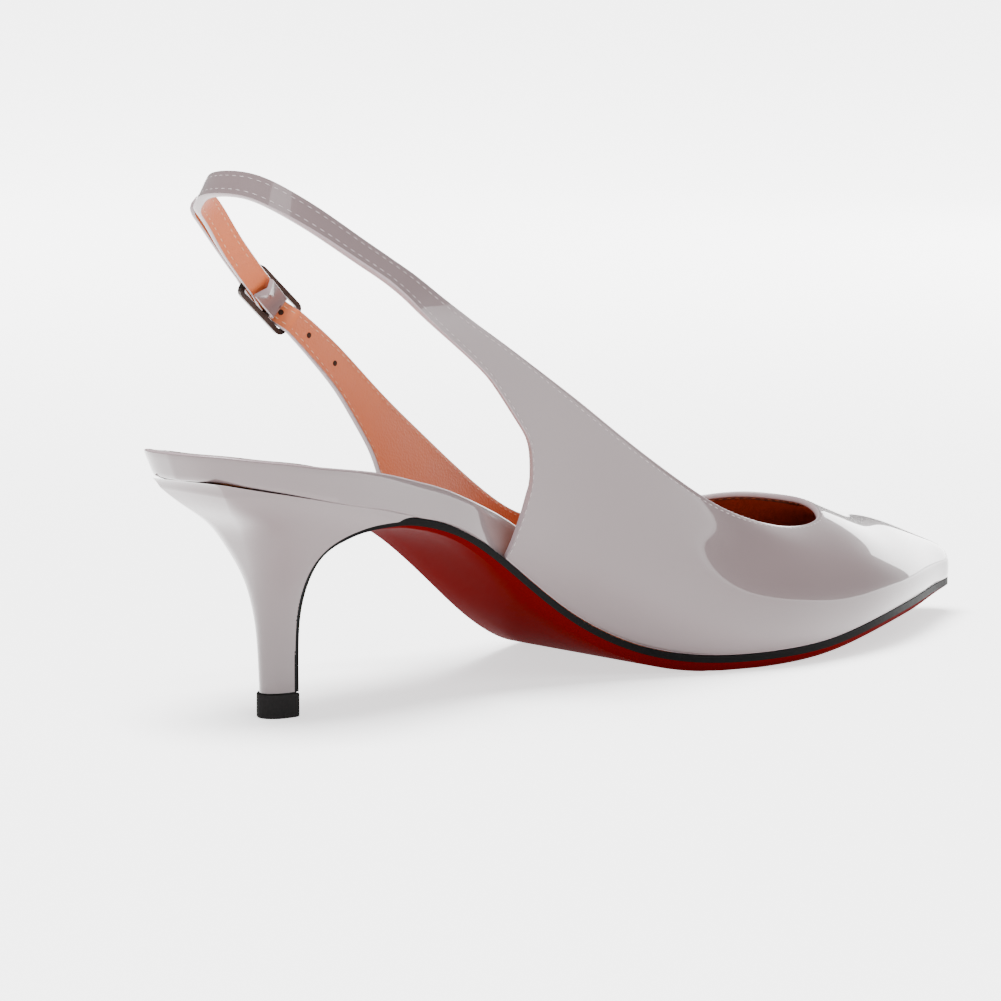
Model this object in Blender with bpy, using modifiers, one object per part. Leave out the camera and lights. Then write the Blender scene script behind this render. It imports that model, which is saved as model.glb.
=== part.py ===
"""Slingback pump, left shoe, pointed toe and slim heel, standing empty on its sole.

Metres, +Z up, +X towards the toe, +Y towards the outer side of the foot. The origin is on the
floor under the middle of the heel tip. Everything is worked out from the shoe's length, its width
at the ball and the height of its seat. The tables hold shares of those sizes: along is a share of
the length, counted from the back of the seat, widths are shares of the ball width and heights are
shares of the seat height.
"""
import math

import bmesh
import bpy
import numpy as np
from mathutils import Matrix, Vector

# Driving sizes
SHOE_LENGTH = 0.247
BALL_WIDTH = 0.0745
SEAT_HEIGHT = 0.0545
TIP_SET = 0.0295
CLEARANCE = 0.0003

UPPER_WALL = 0.0015
COVER_WALL = 0.0016
COVER_LIP = 0.0004
SEAT_LEAN = 0.0024
SEAT_TIP = 0.0007
SOCK_SINK = 0.0006
BOARD_THICK = 0.003
SOCK_THICK = 0.001
SOLE_THICK = 0.0038
SOLE_EDGE = 0.0014
TOP_PIECE_HEIGHT = 0.0056
TOP_PIECE_OVERHANG = 0.0006

STRAP_WIDTH = 0.0058
SLING_THICK = 0.0019
FOLD_THICK = 0.001
TAIL_THICK = 0.0015
STRAP_LEAN = math.radians(28.0)

FOLD_BACK = 0.0085
TAIL_END = -0.036

FRAME_LENGTH = 0.0182
FRAME_BAR = 0.0012
FRAME_PLATE = 0.0011
FRAME_CORNER = 0.0020
FRAME_OUT = 0.0015
REAR_BAR = -0.0105
PRONG_THICK = 0.0009
HOLE_DIAMETER = 0.0017

# Sections of the last, heel to toe. Edge columns are the edge of the sole, from the middle line;
# the others are control points of the section, their heights counted from that edge.
LAST_COLUMNS = ("along", "middle", "edge_in", "edge_out", "edge_up", "low", "low_up",
                "belly", "belly_up", "shoulder", "shoulder_up", "ridge_up", "sole")
LAST_ROWS = (
    (0.235, 0.000, 0.236, 0.242, 0.800, 0.315, 0.156, 0.336, 0.650, 0.349, 1.231, 1.543, 0.60),
    (0.287, 0.000, 0.234, 0.250, 0.730, 0.312, 0.154, 0.353, 0.617, 0.369, 1.165, 1.461, 0.62),
    (0.340, 0.000, 0.227, 0.262, 0.591, 0.305, 0.149, 0.368, 0.622, 0.388, 1.130, 1.411, 0.65),
    (0.397, 0.003, 0.226, 0.286, 0.404, 0.318, 0.171, 0.384, 0.675, 0.409, 1.110, 1.372, 0.70),
    (0.453, 0.003, 0.241, 0.333, 0.239, 0.368, 0.180, 0.395, 0.690, 0.430, 1.046, 1.295, 0.80),
    (0.514, 0.005, 0.299, 0.398, 0.116, 0.440, 0.167, 0.405, 0.633, 0.450, 0.925, 1.183, 0.92),
    (0.575, 0.011, 0.399, 0.463, 0.068, 0.508, 0.171, 0.426, 0.530, 0.443, 0.758, 1.029, 1.00),
    (0.640, 0.011, 0.470, 0.504, 0.068, 0.548, 0.167, 0.467, 0.439, 0.391, 0.605, 0.860, 1.00),
    (0.704, 0.011, 0.489, 0.494, 0.088, 0.534, 0.128, 0.478, 0.361, 0.344, 0.516, 0.685, 1.00),
    (0.769, 0.008, 0.460, 0.444, 0.128, 0.491, 0.101, 0.448, 0.284, 0.295, 0.449, 0.554, 0.98),
    (0.830, -0.011, 0.376, 0.373, 0.152, 0.404, 0.070, 0.379, 0.206, 0.235, 0.352, 0.414, 0.92),
    (0.883, -0.020, 0.285, 0.282, 0.158, 0.309, 0.055, 0.299, 0.161, 0.168, 0.298, 0.349, 0.84),
    (0.927, -0.028, 0.198, 0.194, 0.160, 0.216, 0.042, 0.217, 0.127, 0.115, 0.242, 0.278, 0.72),
    (0.962, -0.040, 0.125, 0.125, 0.160, 0.134, 0.033, 0.144, 0.103, 0.075, 0.189, 0.210, 0.56),
    (0.986, -0.052, 0.074, 0.073, 0.160, 0.077, 0.024, 0.087, 0.081, 0.046, 0.153, 0.160, 0.42),
    (0.996, -0.058, 0.036, 0.037, 0.160, 0.036, 0.015, 0.043, 0.057, 0.023, 0.113, 0.113, 0.36),
    (1.000, -0.060, 0.000, 0.000, 0.160, 0.000, 0.000, 0.000, 0.000, 0.000, 0.000, 0.000, 0.34),
)
# Columns that change sign through the toe tip, where the surface closes
LAST_ODD = ("edge_in", "edge_out", "low", "low_up", "belly", "belly_up",
            "shoulder", "shoulder_up", "ridge_up")

# The sole's run down the breast of the heel, from the heel tip up to the waist
BREAST_COLUMNS = ("along", "edge_up", "edge_in", "edge_out", "sole")
BREAST_ROWS = (
    (0.134, 0.116, 0.051, 0.051, 0.27),
    (0.133, 0.257, 0.055, 0.055, 0.27),
    (0.132, 0.404, 0.066, 0.066, 0.27),
    (0.133, 0.532, 0.089, 0.089, 0.28),
    (0.136, 0.633, 0.121, 0.121, 0.30),
    (0.142, 0.708, 0.156, 0.156, 0.34),
    (0.155, 0.765, 0.192, 0.193, 0.40),
    (0.176, 0.802, 0.223, 0.226, 0.48),
    (0.202, 0.811, 0.234, 0.236, 0.54),
)

# Wrapped edge of the seat, from the back forwards
SEAT_COLUMNS = ("along", "half_in", "half_out", "bottom", "top")
SEAT_ROWS = (
    (-0.001, 0.000, 0.000, 1.030, 1.147),
    (0.004, 0.107, 0.107, 1.031, 1.145),
    (0.016, 0.184, 0.184, 1.026, 1.139),
    (0.036, 0.239, 0.239, 1.005, 1.123),
    (0.066, 0.287, 0.287, 0.974, 1.101),
    (0.099, 0.312, 0.312, 0.940, 1.074),
    (0.141, 0.313, 0.313, 0.897, 1.044),
    (0.182, 0.298, 0.301, 0.861, 1.010),
    (0.227, 0.275, 0.283, 0.818, 0.966),
    (0.267, 0.258, 0.274, 0.772, 0.912),
    (0.308, 0.238, 0.262, 0.689, 0.838),
    (0.345, 0.208, 0.240, 0.584, 0.766),
    (0.375, 0.198, 0.245, 0.484, 0.688),
)
SEAT_ODD = ("half_in", "half_out")

# Rings of the heel from the seat down. breast is the row of the breast table that the ring
# starts from, back is its rearmost point, square is how full its back corners are, seat is how
# much it follows the seat's outline and crown is how far it bows up in the middle.
HEEL_COLUMNS = ("breast", "back_along", "back_up", "square", "seat", "crown")
HEEL_ROWS = (
    (8.75, 0.0145, 1.024, 4.0, 1.00, 0.060),
    (8.00, 0.0260, 0.975, 3.6, 0.80, 0.045),
    (7.00, 0.0430, 0.900, 3.2, 0.45, 0.028),
    (6.00, 0.0660, 0.815, 2.9, 0.20, 0.014),
    (5.00, 0.0800, 0.720, 2.6, 0.08, 0.006),
    (4.00, 0.0905, 0.624, 2.4, 0.02, 0.000),
    (3.00, 0.0980, 0.523, 2.3, 0.00, 0.000),
    (2.00, 0.1040, 0.385, 2.3, 0.00, 0.000),
    (1.00, 0.1060, 0.239, 2.3, 0.00, 0.000),
    (0.00, 0.1070, 0.110, 2.3, 0.00, 0.000),
)

# Top edge of the upper, from the inner strap round the throat to the outer strap
EDGE_COLUMNS = ("along", "side", "up")
TOPLINE_ROWS = (
    (0.251, -0.345, 1.690),
    (0.287, -0.358, 1.578),
    (0.340, -0.374, 1.418),
    (0.397, -0.391, 1.239),
    (0.453, -0.402, 1.056),
    (0.514, -0.415, 0.872),
    (0.572, -0.416, 0.728),
    (0.633, -0.396, 0.630),
    (0.692, -0.355, 0.580),
    (0.742, -0.289, 0.584),
    (0.774, -0.160, 0.608),
    (0.789, 0.000, 0.621),
    (0.777, 0.125, 0.626),
    (0.761, 0.225, 0.612),
    (0.737, 0.315, 0.580),
    (0.697, 0.380, 0.553),
    (0.650, 0.425, 0.540),
    (0.598, 0.447, 0.543),
    (0.547, 0.443, 0.592),
    (0.493, 0.415, 0.715),
    (0.433, 0.388, 0.898),
    (0.376, 0.370, 1.095),
    (0.320, 0.357, 1.310),
    (0.252, 0.344, 1.568),
)
THROAT_ROW = 11

# Rear edge of each quarter, from under the strap down to the sole
INNER_REAR_ROWS = (
    (0.236, -0.341, 1.585),
    (0.279, -0.348, 1.431),
    (0.303, -0.351, 1.318),
    (0.328, -0.350, 1.179),
    (0.343, -0.346, 1.081),
    (0.349, -0.335, 0.972),
    (0.351, -0.325, 0.899),
    (0.350, -0.311, 0.828),
    (0.347, -0.282, 0.719),
    (0.346, -0.257, 0.645),
    (0.345, -0.227, 0.577),
)
OUTER_REAR_ROWS = (
    (0.236, 0.334, 1.466),
    (0.266, 0.341, 1.339),
    (0.290, 0.341, 1.210),
    (0.313, 0.336, 1.052),
    (0.324, 0.332, 0.960),
    (0.330, 0.324, 0.875),
    (0.333, 0.312, 0.777),
    (0.336, 0.290, 0.677),
    (0.340, 0.262, 0.594),
)

# Middle line of the sling, from the inner quarter round the back to the outer quarter
SLING_COLUMNS = ("along", "side", "up", "wide")
SLING_ROWS = (
    (0.244, -0.341, 1.635, 1.17),
    (0.191, -0.317, 1.815, 1.03),
    (0.151, -0.287, 1.939, 1.00),
    (0.117, -0.243, 2.053, 1.00),
    (0.091, -0.183, 2.143, 1.00),
    (0.075, -0.113, 2.198, 1.00),
    (0.067, -0.034, 2.213, 1.00),
    (0.069, 0.062, 2.199, 1.00),
    (0.079, 0.137, 2.164, 1.00),
    (0.094, 0.204, 2.118, 1.00),
    (0.117, 0.254, 2.053, 1.00),
    (0.144, 0.293, 1.938, 1.00),
    (0.174, 0.317, 1.800, 1.00),
    (0.202, 0.330, 1.681, 1.00),
    (0.223, 0.336, 1.600, 1.00),
    (0.244, 0.340, 1.519, 1.10),
)
BAR_ALONG = 0.214

# Finishes: colour, roughness, metallic
FINISHES = {
    "taupe_patent": ((0.42, 0.37, 0.37, 1.0), 0.12, 0.0),
    "tan_lining": ((0.62, 0.28, 0.14, 1.0), 0.6, 0.0),
    "red_sole": ((0.45, 0.01, 0.004, 1.0), 0.35, 0.0),
    "black_rubber": ((0.02, 0.02, 0.02, 1.0), 0.6, 0.0),
    "gunmetal": ((0.1, 0.08, 0.08, 1.0), 0.3, 1.0),
}

collection = None


def row_spline(columns, rows, odd=(), mirrored=False):
    """Natural cubic through the rows, one step of the position for each row.

    mirrored carries the table on past its last row, with the odd columns changing sign, so that
    a surface that closes there is round.
    """
    values = np.array(rows, float)
    last = len(values) - 1
    if mirrored:
        signs = np.array([-1.0 if name in odd else 1.0 for name in columns])
        values = np.vstack([values, values[-2:-6:-1] * signs])
    count = len(values)
    system = np.diag(np.full(count, 4.0)) + np.diag(np.ones(count - 1), 1)
    system += np.diag(np.ones(count - 1), -1)
    system[0] = 0.0
    system[-1] = 0.0
    system[0, 0] = 1.0
    system[-1, -1] = 1.0
    bends = np.zeros_like(values)
    bends[1:-1] = 6.0 * (values[2:] - 2.0 * values[1:-1] + values[:-2])
    bends = np.linalg.solve(system, bends)

    def at(position):
        place = np.asarray(position, float)
        index = np.clip(np.floor(place).astype(int), 0, count - 2)
        right = (place - index)[..., None]
        left = 1.0 - right
        result = left * values[index] + right * values[index + 1]
        result += ((left ** 3 - left) * bends[index] + (right ** 3 - right) * bends[index + 1]) / 6.0
        return {name: result[..., number] for number, name in enumerate(columns)}

    at.last = last
    return at


def forward(along):
    return np.asarray(along) * SHOE_LENGTH - TIP_SET


def sideways(share):
    return np.asarray(share) * BALL_WIDTH


def upward(share):
    return np.asarray(share) * SEAT_HEIGHT


last_at = row_spline(LAST_COLUMNS, LAST_ROWS, LAST_ODD, mirrored=True)
seat_at = row_spline(SEAT_COLUMNS, SEAT_ROWS)
sling_row_at = row_spline(SLING_COLUMNS, SLING_ROWS)

SOLE_COLUMNS = ("along", "middle", "edge_in", "edge_out", "edge_up", "sole")


def sole_rows():
    """Rows of the whole sole, from the bottom of the breast to the toe tip."""
    rows = []
    for row in BREAST_ROWS:
        named = dict(zip(BREAST_COLUMNS, row), middle=0.0)
        rows.append([named[name] for name in SOLE_COLUMNS])
    for row in LAST_ROWS:
        named = dict(zip(LAST_COLUMNS, row))
        rows.append([named[name] for name in SOLE_COLUMNS])
    return rows


sole_at = row_spline(SOLE_COLUMNS, sole_rows(), ("edge_in", "edge_out"), mirrored=True)


def row_of(at, column, target, low, high):
    """Position at which a column that only rises between low and high reaches the target."""
    places = np.linspace(low, high, 2001)
    found = at(places)[column]
    return np.interp(target, found, places)


def hoop_weights(turn):
    """Weights of a section's nine control points, from -1 at the inner edge to 1 at the outer."""
    knots = np.array([0, 0, 0, 0, 1, 2, 3, 4, 5, 6, 6, 6, 6], float)
    place = np.clip(3.0 * (1.0 + np.asarray(turn, float)), 0.0, 6.0 - 1e-9)[..., None]
    weights = ((knots[:-1] <= place) & (place < knots[1:])).astype(float)
    for degree in (1, 2, 3):
        low = knots[:-degree - 1]
        high = knots[degree + 1:]
        rise = knots[degree:-1] - low
        fall = high - knots[1:-degree]
        up = np.where(rise > 0, (place - low) / np.where(rise > 0, rise, 1.0), 0.0)
        down = np.where(fall > 0, (high - place) / np.where(fall > 0, fall, 1.0), 0.0)
        weights = up * weights[..., :-1] + down * weights[..., 1:]
    return weights


def last_point(position, turn):
    """Point of the last's surface, on the upper's outer face."""
    row = last_at(position)
    sides = [-row["edge_in"], -row["low"], -row["belly"], -row["shoulder"], 0.0 * row["low"],
             row["shoulder"], row["belly"], row["low"], row["edge_out"]]
    heights = [0.0 * row["low"], row["low_up"], row["belly_up"], row["shoulder_up"],
               row["ridge_up"], row["shoulder_up"], row["belly_up"], row["low_up"],
               0.0 * row["low"]]
    weights = hoop_weights(turn)
    side = np.sum(weights * np.stack(sides, -1), -1) + row["middle"]
    height = np.sum(weights * np.stack(heights, -1), -1) + row["edge_up"]
    return np.stack([forward(row["along"]), sideways(side), upward(height) + CLEARANCE], -1)


def half_girth(position):
    """Length of half a section, counted in steps between rows."""
    turns = np.linspace(0.0, 1.0, 25)
    places = np.asarray(position, float)
    points = last_point(places[..., None] + 0.0 * turns, turns + 0.0 * places[..., None])
    steps = np.linalg.norm(np.diff(points, axis=-2), axis=-1)
    row_step = SHOE_LENGTH * 0.058
    return np.maximum(steps.sum(-1) / row_step, 1e-6)


def on_last(rows):
    """Position and turn of each edge row, at the nearest point of its section."""
    places = []
    turns = np.linspace(-1.0, 1.0, 1201)
    for along, side, up in rows:
        position = row_of(last_at, "along", along, 0.0, last_at.last)
        section = last_point(np.full_like(turns, position), turns)
        far = np.hypot(section[:, 1] - sideways(side), section[:, 2] - upward(up))
        far = far + 1.0 * (turns * side < -0.02)
        places.append((position, turns[np.argmin(far)]))
    return places


def even_steps(points, count_from=0.0, count_to=1.0):
    """Share of the way along a line of points at which each point lies."""
    steps = np.linalg.norm(np.diff(points, axis=0), axis=1)
    run = np.concatenate([[0.0], np.cumsum(steps)])
    return count_from + (count_to - count_from) * run / run[-1]


def dense(rows, count=161):
    """Many (position, turn) pairs along a smooth line through the given ones."""
    at = row_spline(("position", "turn"), rows)
    places = at(np.linspace(0, at.last, count))
    return np.stack([places["position"], places["turn"]], -1)


def half_edges():
    """Top and lower edge of each half of the upper, from its strap to the middle of the toe."""
    topline = on_last(TOPLINE_ROWS)
    throat_position, throat_turn = topline[THROAT_ROW]
    fine = 21
    top = dense(topline, fine * (len(TOPLINE_ROWS) - 1) + 1)
    split = fine * THROAT_ROW
    halves = []
    for rear_rows, sign, upper_edge in ((INNER_REAR_ROWS, -1.0, top[:split + 1]),
                                        (OUTER_REAR_ROWS, 1.0, top[:split - 1:-1])):
        rear = dense(on_last(rear_rows))
        foot = np.linspace(rear[-1, 0], last_at.last, 241)
        feather = np.stack([foot, np.full_like(foot, sign)], -1)
        rear[-1, 1] = sign
        halves.append((upper_edge, np.vstack([rear, feather[1:]])))
    return halves


def pick(line, shares):
    """Points of a line of (position, turn) pairs at shares of its real length."""
    run = even_steps(last_point(line[:, 0], line[:, 1]))
    return np.stack([np.interp(shares, run, line[:, 0]), np.interp(shares, run, line[:, 1])], -1)


def upper_grid(columns, rows):
    """Grid of points over the upper: columns run round the shoe, rows from topline to sole."""
    girth_places = np.linspace(0.0, last_at.last, 401)
    girths = half_girth(girth_places)
    ease = 0.35
    inner, outer = half_edges()
    grid = np.zeros((columns + 1, rows + 1, 3))
    half = columns // 2
    shares = np.linspace(0.0, 1.0, half + 1)
    shares = shares * (1.0 + ease * (1.0 - shares))
    drop = np.linspace(0.0, 1.0, rows + 1)
    for number, (top_line, low_line) in enumerate((inner, outer)):
        top = pick(top_line, shares)
        low = pick(low_line, shares)
        flat_top = np.stack([top[:, 0], top[:, 1] * np.interp(top[:, 0], girth_places, girths)], -1)
        flat_low = np.stack([low[:, 0], low[:, 1] * np.interp(low[:, 0], girth_places, girths)], -1)
        flat = flat_top[:, None] * (1.0 - drop[None, :, None]) + flat_low[:, None] * drop[None, :, None]
        turn = flat[..., 1] / np.interp(flat[..., 0], girth_places, girths)
        points = last_point(flat[..., 0], np.clip(turn, -1.0, 1.0))
        if number == 0:
            grid[:half + 1] = points
        else:
            grid[half:] = points[::-1]
    return grid


def finish_object(name, mesh, finish, sharp=40.0):
    """Put a mesh in the shoe's collection under its plain name."""
    mesh.name = name
    mesh.shade_smooth()
    mesh.set_sharp_from_angle(angle=math.radians(sharp))
    mesh.materials.append(bpy.data.materials[finish])
    piece = bpy.data.objects.new(name, mesh)
    collection.objects.link(piece)
    return piece


def loft(name, rings, finish, sharp=40.0):
    """Closed body through rings of points that run the same way round."""
    rings = np.asarray(rings, float)
    count, around = rings.shape[:2]
    body = bmesh.new()
    corners = [[body.verts.new(point) for point in ring] for ring in rings]
    for first, second in zip(corners[:-1], corners[1:]):
        for number in range(around):
            after = (number + 1) % around
            body.faces.new((first[number], first[after], second[after], second[number]))
    body.faces.new(corners[0][::-1])
    body.faces.new(corners[-1])
    bmesh.ops.recalc_face_normals(body, faces=body.faces)
    mesh = bpy.data.meshes.new(name)
    body.to_mesh(mesh)
    body.free()
    return finish_object(name, mesh, finish, sharp)


def make_upper():
    """Vamp and quarters: one open grid with the wall as its thickness."""
    columns, rows = 84, 11
    grid = upper_grid(columns, rows)
    body = bmesh.new()
    bmesh.ops.create_grid(body, x_segments=columns, y_segments=rows, size=1.0)
    for corner in body.verts:
        column = int(round((corner.co.x + 1.0) / 2.0 * columns))
        row = int(round((corner.co.y + 1.0) / 2.0 * rows))
        corner.co = grid[column, row]
    mesh = bpy.data.meshes.new("upper")
    body.to_mesh(mesh)
    body.free()
    upper = finish_object("upper", mesh, "taupe_patent")
    wall = upper.modifiers.new("wall", "SOLIDIFY")
    wall.thickness = UPPER_WALL
    wall.offset = 1.0
    wall.use_even_offset = True
    wall.use_quality_normals = True
    return upper


def sole_line(position):
    """Middle point, direction and outward direction of the sole's upper face, side to side level."""
    step = 0.02
    row = sole_at(position)
    before = sole_at(np.asarray(position) - step)
    after = sole_at(np.asarray(position) + step)
    run = forward(after["along"]) - forward(before["along"])
    rise = upward(after["edge_up"]) - upward(before["edge_up"])
    length = np.hypot(run, rise)
    return row, run / length, rise / length


def make_outsole():
    """Thin sole with a bevelled underside, from the toe to the bottom of the heel breast."""
    breast = np.linspace(0.0, 9.0, 22)
    forepart = np.linspace(9.0, sole_at.last - 0.12, 40)
    rings = []
    for position in np.concatenate([breast, forepart[1:]]):
        row, run, rise = sole_line(position)
        depth = SOLE_THICK * row["sole"]
        edge = min(SOLE_EDGE, depth * 0.92)
        inner = sideways(row["edge_in"])
        outer = sideways(row["edge_out"])
        inset = 0.1 * (inner + outer) / 2.0
        profile = ((-inner, 0.0), (-inner, edge), (-inner + 0.35 * inset, edge + 0.55 * (depth - edge)),
                   (-inner + inset, depth), (outer - inset, depth),
                   (outer - 0.35 * inset, edge + 0.55 * (depth - edge)), (outer, edge), (outer, 0.0))
        ring = []
        for side, down in profile:
            height = upward(row["edge_up"]) - run * down
            ring.append((forward(row["along"]) + rise * down,
                         sideways(row["middle"]) + side, max(height, 0.0)))
        rings.append(ring)
    return loft("outsole", rings, "red_sole")


def seat_height(along, column):
    """Height of the seat's lower or upper face at a share of the length."""
    places = np.linspace(0.0, seat_at.last, 801)
    rows = seat_at(places)
    return np.interp(along, rows["along"], rows[column])


def make_heel():
    """Heel: rings from the breast line round the back, from the seat down to the tip."""
    columns = row_spline(HEEL_COLUMNS, HEEL_ROWS)
    rings = []
    around = np.linspace(0.0, math.pi, 25)
    for number in np.linspace(0.0, columns.last, 25):
        ring_row = {name: float(value) for name, value in columns(number).items()}
        row, run, rise = sole_line(ring_row["breast"])
        front_x = forward(row["along"]) - rise * CLEARANCE
        front_z = upward(row["edge_up"]) + run * CLEARANCE
        back_x = forward(ring_row["back_along"])
        back_z = upward(ring_row["back_up"])
        width = (sideways(row["edge_in"]), sideways(row["edge_out"]))
        ring = []
        for angle in around:
            reach = math.sin(angle) ** 0.85
            inner = angle < math.pi / 2.0
            x = front_x + (back_x - front_x) * reach
            along = (x + TIP_SET) / SHOE_LENGTH
            full = (1.0 - min(reach, 1.0) ** ring_row["square"]) ** 0.5
            half = width[0 if inner else 1] * full
            seat_row = row_of(seat_at, "along", along, 0.0, seat_at.last)
            seat_half = seat_at(seat_row)["half_in" if inner else "half_out"]
            seat_side = max(sideways(seat_half) - seat_lean(along) - COVER_LIP, 0.0)
            half = half + (seat_side - half) * max(ring_row["seat"], 0.0)
            crown = upward(ring_row["crown"]) * 4.0 * reach * (1.0 - reach)
            height = front_z + (back_z - front_z) * reach + crown
            side = -half if inner else half
            ceiling = upward(seat_height(along, "bottom")) + seat_tip(x, side) - 1.5 * CLEARANCE
            ring.append((x, side, min(height, ceiling)))
        rings.append(ring)
    return loft("heel", rings, "taupe_patent")


def make_top_piece():
    """Rubber top piece under the heel tip, flat on the floor."""
    row = sole_at(0.0)
    over = TOP_PIECE_OVERHANG
    front = forward(row["along"]) + over
    back = forward(HEEL_ROWS[-1][1]) - over
    half = sideways(row["edge_in"]) + over
    rings = []
    for height, shrink in ((0.0, 0.0003), (0.0003, 0.0), (TOP_PIECE_HEIGHT, 0.0)):
        ring = []
        for angle in np.linspace(0.0, math.pi, 25):
            reach = math.sin(angle)
            x = front - shrink + (back - front + 2.0 * shrink) * reach
            side = (half - shrink) * (1.0 - min(reach, 1.0) ** 2.6) ** 0.5
            ring.append((x, -side if angle < math.pi / 2.0 else side, height))
        rings.append(ring)
    return loft("top_piece", rings, "black_rubber")


def seat_outline(position, inner):
    row = seat_at(position)
    half = row["half_in"] if inner else row["half_out"]
    return forward(row["along"]), sideways(-half if inner else half)


def seat_lean(along):
    """How far the seat's lower edge lies inside its upper edge, most at the back."""
    return SEAT_LEAN * (1.0 - ease((along - 0.05) / 0.2))


def seat_tip(x, y):
    """Rise of the seat towards the inner side, gone at the waist."""
    along = (x + TIP_SET) / SHOE_LENGTH
    return -SEAT_TIP * y / sideways(0.3) * (1.0 - ease((along - 0.17) / 0.07))


def make_seat_cover():
    """Strip round the open edge of the seat, leaning outwards, with a rolled top."""
    front = seat_at.last - 0.03
    shares = np.linspace(0.0, 1.0, 30)
    inner = [(front * (1.0 - share), True) for share in shares]
    outer = [(front * share, False) for share in shares[1:]]
    path = inner + outer
    points = np.array([seat_outline(position, side) for position, side in path])
    rings = []
    for number, (position, side) in enumerate(path):
        before = points[max(number - 1, 0)]
        after = points[min(number + 1, len(points) - 1)]
        heading = (after - before) / np.linalg.norm(after - before)
        outward = np.array([-heading[1], heading[0]])
        row = seat_at(position)
        bottom = upward(row["bottom"])
        top = upward(row["top"])
        wall = COVER_WALL
        profile = ((-wall, bottom), (-0.2 * wall, bottom), (0.0, bottom + 0.25 * wall),
                   (0.0, top - 0.7 * wall), (-0.2 * wall, top - 0.2 * wall), (-0.6 * wall, top),
                   (-wall, top))
        lean = seat_lean(row["along"])
        ring = []
        for offset, height in profile:
            place = points[number] + outward * (offset - lean * (top - height) / (top - bottom))
            ring.append((place[0], place[1], height + seat_tip(place[0], place[1])))
        rings.append(ring)
    return loft("seat_cover", rings, "taupe_patent")


def seat_inset(inset, x, lean):
    """Inner and outer edge of the seat at a place along it, inset is how far inside its outline.

    lean is 1 at the seat's lower edge and 0 at its upper one.
    """
    places = np.linspace(0.0, seat_at.last, 801)
    inset = inset + lean * seat_lean(seat_at(places)["along"])[:, None]
    edges = []
    for inner in (True, False):
        outline = np.stack(seat_outline(places, inner), -1)
        heading = np.gradient(outline, axis=0)
        heading /= np.linalg.norm(heading, axis=1, keepdims=True)
        inwards = np.stack([-heading[:, 1], heading[:, 0]], -1) * (1.0 if inner else -1.0)
        moved = outline + inset * inwards
        edges.append(np.interp(x, moved[:, 0], moved[:, 1]))
    return edges


def board_sections():
    """Lower and upper face of the insole board as (x, inner, outer, height), back to toe."""
    sections = []
    inset = COVER_WALL + CLEARANCE
    back = forward(SEAT_ROWS[0][0]) + inset
    front = forward(SEAT_ROWS[-1][0])
    for share in np.linspace(0.0, 1.0, 24):
        faces = []
        for column, lean, gap in (("bottom", 1.0, CLEARANCE),
                                  ("top", 0.4, -SOCK_THICK - CLEARANCE - SOCK_SINK)):
            rear = back + lean * SEAT_LEAN + CLEARANCE
            x = rear + (front - rear) * share ** 1.5
            inner, outer = seat_inset(inset, x, lean)
            height = upward(seat_height((x + TIP_SET) / SHOE_LENGTH, column)) + gap
            faces.append((x, inner, outer, height))
        sections.append(faces)
    seat_depth = sections[-1][1][3] - sections[-1][0][3]
    inset = UPPER_WALL + 2.0 * CLEARANCE
    start = row_of(last_at, "along", SEAT_ROWS[-1][0], 0.0, last_at.last)
    for position in np.linspace(start + 0.6, last_at.last - 2.35, 21):
        row = last_at(position)
        middle = sideways(row["middle"])
        inner = middle - sideways(row["edge_in"]) + inset
        outer = middle + sideways(row["edge_out"]) - inset
        bottom = upward(row["edge_up"]) + CLEARANCE
        depth = seat_depth + (BOARD_THICK - seat_depth) * ease((position - start) / 3.0)
        x = forward(row["along"])
        sections.append([(x, inner, outer, bottom), (x, inner, outer, bottom + depth)])
    return sections


def make_insole():
    """Insole board, deep at the seat and waist and thin under the ball."""
    round_off = 0.0006
    rings = []
    for (low_x, low_in, low_out, bottom), (x, inner, outer, top) in board_sections():
        ring = [(low_x, low_in, bottom), (low_x, low_out, bottom), (x, outer, top - round_off),
                (x, outer - round_off, top), (x, inner + round_off, top), (x, inner, top - round_off)]
        rings.append([(x, y, z + seat_tip(x, y)) for x, y, z in ring])
    return loft("insole", rings, "tan_lining")


def make_sock():
    """Leather sock on the board."""
    inset = 0.0004
    rings = []
    for _bottom, (x, inner, outer, top) in board_sections():
        low = top + CLEARANCE
        high = low + SOCK_THICK
        ring = [(x, inner + inset, low), (x, outer - inset, low), (x, outer - inset, high - inset),
                (x, outer - 2.0 * inset, high), (x, inner + 2.0 * inset, high),
                (x, inner + inset, high - inset)]
        rings.append([(x, y, z + seat_tip(x, y)) for x, y, z in ring])
    return loft("sock", rings, "tan_lining")


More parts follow.
